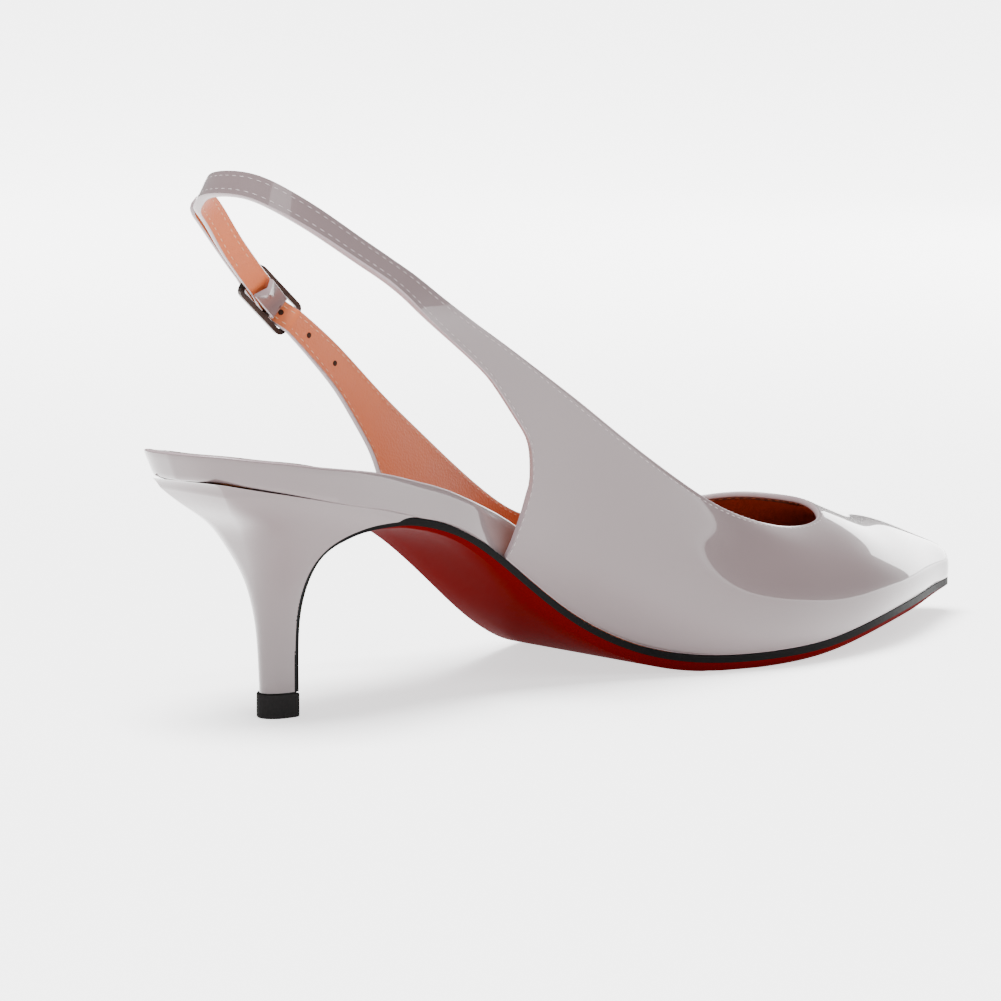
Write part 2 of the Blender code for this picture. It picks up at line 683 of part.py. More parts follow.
class Sling:
    """The sling's middle line by real length, counted from the buckle's centre bar."""

    def __init__(self):
        self.places = np.linspace(0.0, sling_row_at.last, 1601)
        rows = sling_row_at(self.places)
        points = np.stack([forward(rows["along"]), sideways(rows["side"]), upward(rows["up"])], -1)
        steps = np.linalg.norm(np.diff(points, axis=0), axis=1)
        run = np.concatenate([[0.0], np.cumsum(steps)])
        outer_half = self.places > sling_row_at.last / 2.0
        bar = np.interp(BAR_ALONG, rows["along"][outer_half], run[outer_half])
        self.run = run - bar
        self.start = self.run[0]
        self.end = self.run[-1]

    def at(self, run):
        """Point, forward, outward and upward directions, and width, at a length from the bar."""
        step = 0.0004
        places = np.interp([run - step, run, run + step], self.run, self.places)
        rows = sling_row_at(places)
        points = np.stack([forward(rows["along"]), sideways(rows["side"]), upward(rows["up"])], -1)
        heading = points[2] - points[0]
        heading /= np.linalg.norm(heading)
        outward = np.cross((0.0, 0.0, 1.0), heading)
        outward /= np.linalg.norm(outward)
        across = np.cross(heading, outward)
        reach = min((run - self.start) / 0.02, (self.end - run) / 0.02, 1.0)
        lean = STRAP_LEAN * max(reach, 0.0)
        tilted = across * math.cos(lean) - outward * math.sin(lean)
        outward = outward * math.cos(lean) + across * math.sin(lean)
        return points[1], heading, outward, tilted, STRAP_WIDTH * rows["wide"][1]


def ribbon(name, sling, stops, finish):
    """Strap through stops of (run, offset outwards, direction, thickness) on the sling's line."""
    rings = []
    for run, offset, turn, thick, *narrow in stops:
        point, heading, outward, across, width = sling.at(run)
        width *= narrow[0] if narrow else 1.0
        centre = point + outward * offset
        face = outward * math.cos(turn) - heading * math.sin(turn)
        half_width = width / 2.0
        half_thick = thick / 2.0
        corner = 0.55 * half_thick
        profile = ((-half_thick, -half_width + corner), (-half_thick + corner, -half_width),
                   (half_thick - corner, -half_width), (half_thick, -half_width + corner),
                   (half_thick, half_width - corner), (half_thick - corner, half_width),
                   (-half_thick + corner, half_width), (-half_thick, half_width - corner))
        rings.append([centre + face * out + across * up for out, up in profile])
    return loft(name, rings, finish)


def wrap_offset():
    """How far the middle of the folded strap lies from the middle of the centre bar."""
    return math.hypot(FRAME_BAR, FRAME_PLATE) / 2.0 + CLEARANCE + FOLD_THICK / 2.0


def ease(share):
    share = np.clip(share, 0.0, 1.0)
    return share * share * (3.0 - 2.0 * share)


def sling_offset(sling, run):
    """Outward shift of the sling: flush with the quarter at its joint, under the frame behind."""
    joint = (UPPER_WALL - SLING_THICK) / 2.0 - UPPER_WALL / 2.0
    under = FRAME_OUT - FRAME_PLATE / 2.0 - CLEARANCE - SLING_THICK / 2.0 - 0.0002
    near_joint = 1.0 - ease((run - sling.start) / 0.015)
    near_frame = ease((run + 0.022) / 0.008)
    return joint * near_joint + under * near_frame


def cut_away(body, name, size, matrix):
    """Cut a box through a body or, where size is (diameter, depth), a round hole."""
    shape = bmesh.new()
    if len(size) == 2:
        bmesh.ops.create_cone(shape, cap_ends=True, segments=16, radius1=size[0] / 2.0,
                              radius2=size[0] / 2.0, depth=size[1])
    else:
        bmesh.ops.create_cube(shape, size=1.0, matrix=Matrix.Diagonal((*size, 1.0)))
    bmesh.ops.transform(shape, matrix=matrix, verts=shape.verts)
    mesh = bpy.data.meshes.new(name)
    shape.to_mesh(mesh)
    shape.free()
    cutter = bpy.data.objects.new(name, mesh)
    collection.objects.link(cutter)
    cutter.hide_render = True
    cutter.display_type = "WIRE"
    cut = body.modifiers.new(name, "BOOLEAN")
    cut.operation = "DIFFERENCE"
    cut.solver = "EXACT"
    cut.object = cutter


def make_sling_strap(sling):
    """Strap from the inner quarter round the heel, its end folded round the centre bar."""
    wrap = wrap_offset()
    stops = []
    calm = REAR_BAR - 0.002
    low = sling_offset(sling, calm)
    for run in np.linspace(sling.start + 1.5 * CLEARANCE, calm, 56):
        stops.append((run, sling_offset(sling, run), 0.0, SLING_THICK))
    climb = FRAME_OUT + wrap - low
    for share in np.linspace(0.0, 1.0, 9)[1:]:
        run = calm * (1.0 - share)
        late = max(share - 0.25, 0.0) / 0.75
        slope = math.atan(6.0 * late * (1.0 - late) * climb / (-0.75 * calm))
        thick = SLING_THICK + (FOLD_THICK - SLING_THICK) * min(share * 2.0, 1.0)
        stops.append((run, low + ease(late) * climb, slope, thick))
    for angle in np.linspace(0.0, math.pi, 9)[1:]:
        stops.append((wrap * math.sin(angle), FRAME_OUT + wrap * math.cos(angle), -angle, FOLD_THICK))
    for share in np.linspace(0.0, 1.0, 6)[1:]:
        offset = FRAME_OUT - wrap - 0.0026 * share ** 1.2
        stops.append((-FOLD_BACK * share, offset, -math.pi + 0.32, FOLD_THICK))
    strap = ribbon("sling_strap", sling, stops, "taupe_patent")
    slot = place_on_bar(sling) @ Matrix.Translation((0.0001, 0.0, 0.0))
    room = 2.0 * (wrap_offset() + FOLD_THICK / 2.0 + CLEARANCE + 0.0002)
    cut_away(strap, "prong_slot", (room, PRONG_THICK + 2.0 * CLEARANCE + 0.0002, room), slot)
    return strap


def over_bar():
    """How far outwards of the centre bar's middle the buckle strap has to pass."""
    return wrap_offset() + FOLD_THICK / 2.0 + CLEARANCE + TAIL_THICK / 2.0


def strap_dive():
    """The buckle strap's straight run from over the centre bar to under the front bar.

    Gives where that run starts and ends along the strap, its height at the end and its slope.
    """
    under_front = FRAME_OUT - FRAME_PLATE / 2.0 - CLEARANCE - TAIL_THICK / 2.0 - 0.0001
    front = REAR_BAR + FRAME_LENGTH - FRAME_BAR - 0.0002
    drop = under_front - FRAME_OUT
    reach = math.hypot(front, drop)
    angle = math.atan2(-drop, -front) - math.asin(over_bar() / reach)
    tangent = math.sqrt(reach * reach - over_bar() ** 2)
    return front + tangent * math.cos(angle), front, under_front, math.tan(angle)


def prong_level():
    """How far outwards of the frame's middle plane the prong lies."""
    return FRAME_PLATE / 2.0 + CLEARANCE + PRONG_THICK / 2.0


def tail_offset(run):
    """How far outwards of the sling's line the buckle strap runs, at a length from the bar."""
    top = over_bar()
    over_sling = (SLING_THICK + TAIL_THICK) / 2.0 + 0.0010
    joint = -0.45 * TAIL_THICK
    if run > 0.0:
        touch, front, under_front, slope = strap_dive()
        if run < touch:
            return FRAME_OUT + math.sqrt(top * top - run * run)
        height = under_front + min(run - front, 0.0) * slope
        return height + (joint - under_front) * ease((run - front - FRAME_BAR) / 0.003)
    loose = 0.0012 * max((-run - 0.022) / 0.014, 0.0) ** 1.5
    return FRAME_OUT + top + (over_sling - FRAME_OUT - top) * ease(run / (2.0 * REAR_BAR)) + loose


def make_buckle_strap(sling):
    """Strap from the outer quarter, through the buckle, to its free tail."""
    stops = []
    step = 0.0003
    taper = 0.7 * STRAP_WIDTH
    front = REAR_BAR + FRAME_LENGTH
    runs = [sling.end - 1.5 * CLEARANCE]
    runs += list(np.linspace(front, 0.0, 24))
    runs += list(np.linspace(0.0, TAIL_END, 28)[1:])
    for run in runs:
        rise = (tail_offset(run + step) - tail_offset(run - step)) / (2.0 * step)
        narrow = 1.0 - 0.55 * max((TAIL_END + taper - run) / taper, 0.0) ** 2.0
        stops.append((run, tail_offset(run), math.atan(rise), TAIL_THICK, narrow))
    strap = ribbon("buckle_strap", sling, stops, "taupe_patent")
    _touch, dive_end, under_front, slope = strap_dive()
    crossing = dive_end + (FRAME_OUT + prong_level() - under_front) / slope
    depth = (TAIL_THICK * math.hypot(1.0, slope) + HOLE_DIAMETER) / abs(slope) + 2.0 * CLEARANCE
    hole = place_on_bar(sling) @ Matrix.Translation((crossing, 0.0, prong_level()))
    tilt = Matrix.Rotation(math.radians(90.0), 4, "Y")
    cut_away(strap, "prong_hole", (HOLE_DIAMETER, depth), hole @ tilt)
    return strap


def place_on_bar(sling):
    """Matrix that puts a buckle piece, drawn with X along the strap and Z outwards, at the bar."""
    point, heading, outward, across, _width = sling.at(0.0)
    turn = Matrix((heading, -across, outward)).transposed().to_4x4()
    return Matrix.Translation(Vector(point + outward * FRAME_OUT)) @ turn


def rounded_box(half_x, half_y, centre_x, corner):
    """Outline of a rectangle with round corners, as points in order."""
    outline = []
    for number in range(4):
        sign_x = (1, -1, -1, 1)[number]
        sign_y = (1, 1, -1, -1)[number]
        for step in range(5):
            angle = math.radians(90.0 * number + 22.5 * step)
            outline.append((centre_x + sign_x * (half_x - corner) + corner * math.cos(angle),
                            sign_y * (half_y - corner) + corner * math.sin(angle), 0.0))
    return outline


def make_buckle_frame(sling):
    """Flat oblong frame with a centre bar, cut from plate."""
    window = STRAP_WIDTH / 2.0 + 0.00035
    middle = REAR_BAR + FRAME_LENGTH / 2.0
    outline = bpy.data.curves.new("frame_outline", "CURVE")
    outline.dimensions = "2D"
    outline.fill_mode = "BOTH"
    outline.extrude = FRAME_PLATE / 2.0
    rear_end = REAR_BAR + FRAME_BAR
    front_end = REAR_BAR + FRAME_LENGTH - FRAME_BAR
    half_bar = FRAME_BAR / 2.0
    rear_window = ((-half_bar - rear_end) / 2.0, (-half_bar + rear_end) / 2.0)
    front_window = ((front_end - half_bar) / 2.0, (front_end + half_bar) / 2.0)
    loops = (rounded_box(FRAME_LENGTH / 2.0, window + FRAME_BAR, middle, FRAME_CORNER),
             rounded_box(rear_window[0], window, rear_window[1], 0.0008),
             rounded_box(front_window[0], window, front_window[1], 0.0008))
    for points in loops:
        spline = outline.splines.new("POLY")
        spline.points.add(len(points) - 1)
        for corner, point in zip(spline.points, points):
            corner.co = (*point, 1.0)
        spline.use_cyclic_u = True
    holder = bpy.data.objects.new("frame_outline", outline)
    collection.objects.link(holder)
    bpy.context.view_layer.update()
    evaluated = holder.evaluated_get(bpy.context.evaluated_depsgraph_get())
    mesh = bpy.data.meshes.new_from_object(evaluated)
    body = bmesh.new()
    body.from_mesh(mesh)
    bmesh.ops.remove_doubles(body, verts=body.verts, dist=0.00001)
    bmesh.ops.transform(body, matrix=place_on_bar(sling), verts=body.verts)
    bmesh.ops.recalc_face_normals(body, faces=body.faces)
    body.to_mesh(mesh)
    body.free()
    mesh.materials.clear()
    bpy.data.objects.remove(holder)
    return finish_object("buckle_frame", mesh, "gunmetal")


def make_buckle_prong(sling):
    """Prong: an eye round the centre bar and an arm that rests on the front bar."""
    eye_inner = math.hypot(FRAME_BAR, FRAME_PLATE) / 2.0 + CLEARANCE
    eye_outer = wrap_offset() + FOLD_THICK / 2.0
    half = PRONG_THICK / 2.0
    tip = REAR_BAR + FRAME_LENGTH - FRAME_BAR / 2.0 + 0.0004
    body = bmesh.new()
    around = np.linspace(0.0, 2.0 * math.pi, 25)[:-1]
    rings = []
    for radius, side in ((eye_inner, -half), (eye_outer, -half), (eye_outer, half), (eye_inner, half)):
        rings.append([body.verts.new((radius * math.sin(angle), side, radius * math.cos(angle)))
                      for angle in around])
    for first, second in zip(rings, rings[1:] + rings[:1]):
        for number in range(len(around)):
            after = (number + 1) % len(around)
            body.faces.new((first[number], first[after], second[after], second[number]))
    bmesh.ops.recalc_face_normals(body, faces=body.faces)
    bmesh.ops.transform(body, matrix=place_on_bar(sling), verts=body.verts)
    mesh = bpy.data.meshes.new("buckle_prong")
    body.to_mesh(mesh)
    body.free()
    prong = finish_object("buckle_prong", mesh, "gunmetal")
    arm = bmesh.new()
    start = (eye_inner + eye_outer) / 2.0 * 0.5
    across = Matrix.Rotation(math.radians(90.0), 4, "Y")
    bmesh.ops.create_cone(arm, cap_ends=True, segments=12, radius1=half, radius2=0.8 * half,
                          depth=tip - start, matrix=across)
    place = place_on_bar(sling) @ Matrix.Translation(((start + tip) / 2.0, 0.0, prong_level()))
    bmesh.ops.transform(arm, matrix=place, verts=arm.verts)
    arm_mesh = bpy.data.meshes.new("prong_arm")
    arm.to_mesh(arm_mesh)
    arm.free()
    rod = bpy.data.objects.new("prong_arm", arm_mesh)
    collection.objects.link(rod)
    rod.hide_render = True
    rod.display_type = "WIRE"
    join = prong.modifiers.new("arm", "BOOLEAN")
    join.operation = "UNION"
    join.solver = "EXACT"
    join.object = rod
    return prong


def build():
    """Make the whole shoe."""
    global collection
    for old in list(bpy.data.objects):
        bpy.data.objects.remove(old)
    collection = bpy.data.collections.new("slingback_pump")
    bpy.context.scene.collection.children.link(collection)
    for name, (colour, roughness, metallic) in FINISHES.items():
        material = bpy.data.materials.new(name)
        material.use_nodes = True
        shader = material.node_tree.nodes["Principled BSDF"]
        shader.inputs["Base Color"].default_value = colour
        shader.inputs["Roughness"].default_value = roughness
        shader.inputs["Metallic"].default_value = metallic
    make_outsole()
    make_heel()
    make_top_piece()
    make_insole()
    make_seat_cover()
    make_sock()
    make_upper()
    sling = Sling()
    make_sling_strap(sling)
    make_buckle_strap(sling)
    make_buckle_frame(sling)
    make_buckle_prong(sling)


build()
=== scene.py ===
"""Grey-taupe patent slingback pump, left shoe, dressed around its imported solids."""
import math

import bmesh
import bpy
import numpy as np
from mathutils import Matrix, Vector


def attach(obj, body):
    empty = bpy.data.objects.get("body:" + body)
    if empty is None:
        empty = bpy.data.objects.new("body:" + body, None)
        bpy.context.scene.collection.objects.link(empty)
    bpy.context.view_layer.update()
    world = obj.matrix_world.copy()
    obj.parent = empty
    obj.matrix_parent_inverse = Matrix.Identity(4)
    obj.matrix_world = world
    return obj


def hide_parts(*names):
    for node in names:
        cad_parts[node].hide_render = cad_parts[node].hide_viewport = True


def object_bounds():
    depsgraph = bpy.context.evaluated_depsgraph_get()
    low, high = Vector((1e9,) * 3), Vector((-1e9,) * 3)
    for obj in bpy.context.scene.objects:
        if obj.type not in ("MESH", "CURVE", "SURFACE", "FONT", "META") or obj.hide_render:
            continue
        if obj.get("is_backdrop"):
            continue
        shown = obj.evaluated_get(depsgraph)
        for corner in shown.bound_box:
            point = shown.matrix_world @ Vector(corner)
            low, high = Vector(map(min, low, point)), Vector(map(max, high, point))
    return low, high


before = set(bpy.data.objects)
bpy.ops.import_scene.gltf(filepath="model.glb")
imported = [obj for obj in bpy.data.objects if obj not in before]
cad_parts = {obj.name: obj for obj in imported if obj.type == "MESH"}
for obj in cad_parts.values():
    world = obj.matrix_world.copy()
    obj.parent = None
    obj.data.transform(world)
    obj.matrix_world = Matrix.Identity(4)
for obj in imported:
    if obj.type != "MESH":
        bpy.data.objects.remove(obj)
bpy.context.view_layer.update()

# Leather of the shoe
# Grey-taupe patent: pigmented leather under a clear lacquer, which is what gives the mirror
# gloss; a tan calf lining; painted cut edges. The finishes are mixed here and used throughout.


class Shade:
    """A socket in a finish's node tree that adds and scales like a number."""

    def __init__(self, tree, socket):
        self.tree = tree
        self.socket = socket

    def node(self, kind, settings=None, inputs=None, output=0):
        """A new node, its settings made first, then the values or links of its sockets."""
        made = self.tree.nodes.new(kind)
        for name, value in (settings or {}).items():
            setattr(made, name, value)
        for name, value in (inputs or {}).items():
            if isinstance(value, Shade):
                self.tree.links.new(value.socket, made.inputs[name])
            else:
                made.inputs[name].default_value = value
        return Shade(self.tree, made.outputs[output])

    def maths(self, operation, other):
        """One step of shader maths on two numbers."""
        return self.node("ShaderNodeMath", {"operation": operation}, {0: self, 1: other})

    def __add__(self, other):
        return self.maths("ADD", other)

    __radd__ = __add__

    def __mul__(self, other):
        return self.maths("MULTIPLY", other)

    __rmul__ = __mul__


def speckle(place, scale, detail=2.0):
    """Cloudy pattern of a given fineness."""
    return place.node("ShaderNodeTexNoise", None, {"Vector": place, "Scale": scale, "Detail": detail})


def between(share, first, second):
    """Colour between two, by a pattern's share."""
    colours = {"Factor": share, 6: (*first, 1.0), 7: (*second, 1.0)}
    return share.node("ShaderNodeMix", {"data_type": "RGBA"}, colours, 2)


def relief(height, strength, depth):
    """Small relief pressed in a surface."""
    inputs = {"Height": height, "Strength": strength, "Distance": depth}
    return height.node("ShaderNodeBump", None, inputs)


def finish(name, **constants):
    """A new finish: its material, its shader and a Shade that reads the place on the object."""
    material = bpy.data.materials.new(name)
    material.use_nodes = True
    tree = material.node_tree
    shader = tree.nodes["Principled BSDF"]
    for socket, value in constants.items():
        shader.inputs[socket.replace("_", " ")].default_value = value
    place = Shade(tree, tree.nodes.new("ShaderNodeTexCoord").outputs["Object"])
    return material, shader, place


def feed(shader, socket, shade):
    """Let a pattern drive one socket of a finish's shader."""
    shade.tree.links.new(shade.socket, shader.inputs[socket])


patent, shader, place = finish("patent_leather", Coat_Weight=1.0, Coat_Roughness=0.03,
                               Coat_IOR=1.45, Specular_IOR_Level=0.25)
cloud = speckle(place, 28.0, 3.0)
grain = speckle(place, 900.0, 2.0)
feed(shader, "Base Color", between(cloud, (0.108, 0.078, 0.080), (0.119, 0.087, 0.089)))
feed(shader, "Roughness", 0.28 + 0.1 * grain)
feed(shader, "Normal", relief(speckle(place, 70.0, 1.0) + 0.03 * grain, 0.25, 0.0001))

# Painted shade: the lining is painted darker from the ball of the foot to the toe, standing for the
# shadow deep inside the toe
SHADE_FROM = 0.095
SHADE_TO = 0.150
lining, shader, place = finish("tan_lining", Specular_IOR_Level=0.4)
cloud = speckle(place, 45.0, 4.0)
pores = place.node("ShaderNodeTexVoronoi", None, {"Vector": place, "Scale": 1700.0})
spot = place.node("ShaderNodeSeparateXYZ", None, {"Vector": place})
# Share of painted shade, from none at the ball of the foot to full at the toe
toe_shade = spot.node("ShaderNodeMapRange", {"interpolation_type": "SMOOTHSTEP"},
                 {"Value": spot, "From Min": SHADE_FROM, "From Max": SHADE_TO})
lining_colour = between(cloud, (0.345, 0.076, 0.021), (0.445, 0.113, 0.034))
# The lining's own colour, mixed into a dark painted shade colour towards the toe
feed(shader, "Base Color", toe_shade.node("ShaderNodeMix", {"data_type": "RGBA"},
                                     {"Factor": toe_shade, 6: lining_colour, 7: (0.230, 0.050, 0.022, 1.0)}, 2))
feed(shader, "Roughness", 0.42 + 0.2 * cloud)
feed(shader, "Normal", relief(pores + cloud, 0.35, 0.00012))

edge_paint, shader, place = finish("edge_paint", Coat_Weight=0.4, Coat_Roughness=0.15)
fibre = speckle(place, 700.0, 3.0)
feed(shader, "Base Color", between(fibre, (0.17, 0.130, 0.138), (0.23, 0.175, 0.183)))
feed(shader, "Roughness", 0.35 + 0.2 * fibre)
feed(shader, "Normal", relief(fibre, 0.3, 0.00005))

# Upper and straps
# Vamp, quarters and heel strap are cut as one band of patent, lined and edge-painted. It is
# shaped over the last, so its surface is the last's own sections, and closed at the buckle.
SHOE_LENGTH = 0.247
BALL_WIDTH = 0.0745
SEAT_HEIGHT = 0.0545
TIP_SET = 0.0295
GAP = 0.0003
WALL = 0.0015
EDGE_ROUND = 0.00042
STRAP_WIDTH = 0.0058
STRAP_THICK = 0.0019
FOLD_THICK = 0.001
TAIL_THICK = 0.0015
STRAP_LEAN = math.radians(28.0)
FOLD_BACK = 0.0085
FOLD_NOTCH = 0.0022
TAIL_END = -0.036
FRAME_LENGTH = 0.0182
FRAME_BAR = 0.0012
FRAME_PLATE = 0.0011
FRAME_OUT = 0.0015
REAR_BAR = -0.0105
BAR_ALONG = 0.214

# Lengths over which the straps lean, sink under the frame and ease to the quarters, and how far
# they clear the frame and each other
LEAN_RUN = 0.02
JOINT_RUN = 0.015
UNDER_FRAME = -0.022
UNDER_RUN = 0.008
TAIL_JOINT_RUN = 0.003
SLACK = 0.0002
TAIL_LIFT = 0.001
LOOSE_FROM = -0.022
LOOSE_TIP = 0.0012
TIP_ROUND = 0.0035

# Sections of the last, heel to toe, as shares of the length, the ball width and the seat height
LAST_COLUMNS = ("along", "middle", "edge_in", "edge_out", "edge_up", "low", "low_up",
                "belly", "belly_up", "shoulder", "shoulder_up", "ridge_up", "sole")
LAST_ROWS = (
    (0.235, 0.000, 0.236, 0.242, 0.800, 0.315, 0.156, 0.336, 0.650, 0.349, 1.231, 1.543, 0.60),
    (0.287, 0.000, 0.234, 0.250, 0.730, 0.312, 0.154, 0.353, 0.617, 0.369, 1.165, 1.461, 0.62),
    (0.340, 0.000, 0.227, 0.262, 0.591, 0.305, 0.149, 0.368, 0.622, 0.388, 1.130, 1.411, 0.65),
    (0.397, 0.003, 0.226, 0.286, 0.404, 0.318, 0.171, 0.384, 0.675, 0.409, 1.110, 1.372, 0.70),
    (0.453, 0.003, 0.241, 0.333, 0.239, 0.368, 0.180, 0.395, 0.690, 0.430, 1.046, 1.295, 0.80),
    (0.514, 0.005, 0.299, 0.398, 0.116, 0.440, 0.167, 0.405, 0.633, 0.450, 0.925, 1.183, 0.92),
    (0.575, 0.011, 0.399, 0.463, 0.068, 0.508, 0.171, 0.426, 0.530, 0.443, 0.758, 1.029, 1.00),
    (0.640, 0.011, 0.470, 0.504, 0.068, 0.548, 0.167, 0.467, 0.439, 0.391, 0.605, 0.860, 1.00),
    (0.704, 0.011, 0.489, 0.494, 0.088, 0.534, 0.128, 0.478, 0.361, 0.344, 0.516, 0.685, 1.00),
    (0.769, 0.008, 0.460, 0.444, 0.128, 0.491, 0.101, 0.448, 0.284, 0.295, 0.449, 0.554, 0.98),
    (0.830, -0.011, 0.376, 0.373, 0.152, 0.404, 0.070, 0.379, 0.206, 0.235, 0.352, 0.414, 0.92),
    (0.883, -0.020, 0.285, 0.282, 0.158, 0.309, 0.055, 0.299, 0.161, 0.168, 0.298, 0.349, 0.84),
    (0.927, -0.028, 0.198, 0.194, 0.160, 0.216, 0.042, 0.217, 0.127, 0.115, 0.242, 0.278, 0.72),
    (0.962, -0.040, 0.125, 0.125, 0.160, 0.134, 0.033, 0.144, 0.103, 0.075, 0.189, 0.210, 0.56),
    (0.986, -0.052, 0.074, 0.073, 0.160, 0.077, 0.024, 0.087, 0.081, 0.046, 0.153, 0.160, 0.42),
    (0.996, -0.058, 0.036, 0.037, 0.160, 0.036, 0.015, 0.043, 0.057, 0.023, 0.113, 0.113, 0.36),
    (1.000, -0.060, 0.000, 0.000, 0.160, 0.000, 0.000, 0.000, 0.000, 0.000, 0.000, 0.000, 0.34),
)
LAST_ODD = ("edge_in", "edge_out", "low", "low_up", "belly", "belly_up",
            "shoulder", "shoulder_up", "ridge_up")

# Top edge of the upper, then the rear edge of each quarter: along, side, up
TOPLINE_ROWS = (
    (0.251, -0.345, 1.690),
    (0.287, -0.358, 1.578),
    (0.340, -0.374, 1.418),
    (0.397, -0.391, 1.239),
    (0.453, -0.402, 1.056),
    (0.514, -0.415, 0.872),
    (0.572, -0.416, 0.728),
    (0.633, -0.396, 0.630),
    (0.692, -0.355, 0.580),
    (0.742, -0.289, 0.584),
    (0.774, -0.160, 0.608),
    (0.789, 0.000, 0.621),
    (0.777, 0.125, 0.626),
    (0.761, 0.225, 0.612),
    (0.737, 0.315, 0.580),
    (0.697, 0.380, 0.553),
    (0.650, 0.425, 0.540),
    (0.598, 0.447, 0.543),
    (0.547, 0.443, 0.592),
    (0.493, 0.415, 0.715),
    (0.433, 0.388, 0.898),
    (0.376, 0.370, 1.095),
    (0.320, 0.357, 1.310),
    (0.252, 0.344, 1.568),
)
THROAT_ROW = 11

INNER_REAR_ROWS = (
    (0.236, -0.341, 1.585),
    (0.279, -0.348, 1.431),
    (0.303, -0.351, 1.318),
    (0.328, -0.350, 1.179),
    (0.343, -0.346, 1.081),
    (0.349, -0.335, 0.972),
    (0.351, -0.325, 0.899),
    (0.350, -0.311, 0.828),
    (0.347, -0.282, 0.719),
    (0.346, -0.257, 0.645),
    (0.345, -0.227, 0.577),
)
OUTER_REAR_ROWS = (
    (0.236, 0.334, 1.466),
    (0.266, 0.341, 1.339),
    (0.290, 0.341, 1.210),
    (0.313, 0.336, 1.052),
    (0.324, 0.332, 0.960),
    (0.330, 0.324, 0.875),
    (0.333, 0.312, 0.777),
    (0.336, 0.290, 0.677),
    (0.340, 0.262, 0.594),
)

# Middle line of the sling, from the inner quarter round the back to the outer quarter
SLING_COLUMNS = ("along", "side", "up", "wide")
SLING_ROWS = (
    (0.244, -0.341, 1.635, 1.17),
    (0.191, -0.317, 1.815, 1.03),
    (0.151, -0.287, 1.939, 1.00),
    (0.117, -0.243, 2.053, 1.00),
    (0.091, -0.183, 2.143, 1.00),
    (0.075, -0.113, 2.198, 1.00),
    (0.067, -0.034, 2.213, 1.00),
    (0.069, 0.062, 2.199, 1.00),
    (0.079, 0.137, 2.164, 1.00),
    (0.094, 0.204, 2.118, 1.00),
    (0.117, 0.254, 2.053, 1.00),
    (0.144, 0.293, 1.938, 1.00),
    (0.174, 0.317, 1.800, 1.00),
    (0.202, 0.330, 1.681, 1.00),
    (0.223, 0.336, 1.600, 1.00),
    (0.244, 0.340, 1.519, 1.10),
)


def row_spline(columns, rows, odd=(), mirrored=False):
    """Natural cubic through the rows; mirrored carries the table on past its last row."""
    values = np.array(rows, float)
    last = len(values) - 1
    if mirrored:
        signs = np.array([-1.0 if name in odd else 1.0 for name in columns])
        values = np.vstack([values, values[-2:-6:-1] * signs])
    count = len(values)
    system = np.diag(np.full(count, 4.0)) + np.diag(np.ones(count - 1), 1)
    system += np.diag(np.ones(count - 1), -1)
    system[0] = 0.0
    system[-1] = 0.0
    system[0, 0] = 1.0
    system[-1, -1] = 1.0
    bends = np.zeros_like(values)
    bends[1:-1] = 6.0 * (values[2:] - 2.0 * values[1:-1] + values[:-2])
    bends = np.linalg.solve(system, bends)

    def at(position):
        spot = np.asarray(position, float)
        index = np.clip(np.floor(spot).astype(int), 0, count - 2)
        right = (spot - index)[..., None]
        left = 1.0 - right
        result = left * values[index] + right * values[index + 1]
        result += ((left ** 3 - left) * bends[index] + (right ** 3 - right) * bends[index + 1]) / 6.0
        return {name: result[..., number] for number, name in enumerate(columns)}

    at.last = last
    return at


def forward(along):
    """Place on the shoe's length, from a share of it."""
    return np.asarray(along) * SHOE_LENGTH - TIP_SET


def sideways(share):
    """Place across the shoe, from a share of the ball width."""
    return np.asarray(share) * BALL_WIDTH


def upward(share):
    """Height, from a share of the seat height."""
    return np.asarray(share) * SEAT_HEIGHT


last_at = row_spline(LAST_COLUMNS, LAST_ROWS, LAST_ODD, mirrored=True)
sling_row_at = row_spline(SLING_COLUMNS, SLING_ROWS)


def hoop_weights(turn):
    """Weights of a section's nine control points, from -1 at the inner edge to 1 at the outer."""
    knots = np.array([0, 0, 0, 0, 1, 2, 3, 4, 5, 6, 6, 6, 6], float)
    spot = np.clip(3.0 * (1.0 + np.asarray(turn, float)), 0.0, 6.0 - 1e-9)[..., None]
    weights = ((knots[:-1] <= spot) & (spot < knots[1:])).astype(float)
    for degree in (1, 2, 3):
        low = knots[:-degree - 1]
        high = knots[degree + 1:]
        rise = knots[degree:-1] - low
        fall = high - knots[1:-degree]
        up = np.where(rise > 0, (spot - low) / np.where(rise > 0, rise, 1.0), 0.0)
        down = np.where(fall > 0, (high - spot) / np.where(fall > 0, fall, 1.0), 0.0)
        weights = up * weights[..., :-1] + down * weights[..., 1:]
    return weights


def last_point(position, turn):
    """Point of the last's surface, on the upper's outer face."""
    row = last_at(position)
    none = 0.0 * row["low"]
    sides = [-row["edge_in"], -row["low"], -row["belly"], -row["shoulder"], none,
             row["shoulder"], row["belly"], row["low"], row["edge_out"]]
    heights = [none, row["low_up"], row["belly_up"], row["shoulder_up"], row["ridge_up"],
               row["shoulder_up"], row["belly_up"], row["low_up"], none]
    weights = hoop_weights(turn)
    side = np.sum(weights * np.stack(sides, -1), -1) + row["middle"]
    height = np.sum(weights * np.stack(heights, -1), -1) + row["edge_up"]
    return np.stack([forward(row["along"]), sideways(side), upward(height) + GAP], -1)


ROW_STEP = 0.058


def half_girth(position):
    """Length of half a section, counted in usual steps between rows."""
    turns = np.linspace(0.0, 1.0, 25)
    spots = np.asarray(position, float)
    points = last_point(spots[..., None] + 0.0 * turns, turns + 0.0 * spots[..., None])
    steps = np.linalg.norm(np.diff(points, axis=-2), axis=-1)
    return np.maximum(steps.sum(-1) / (SHOE_LENGTH * ROW_STEP), 1e-6)


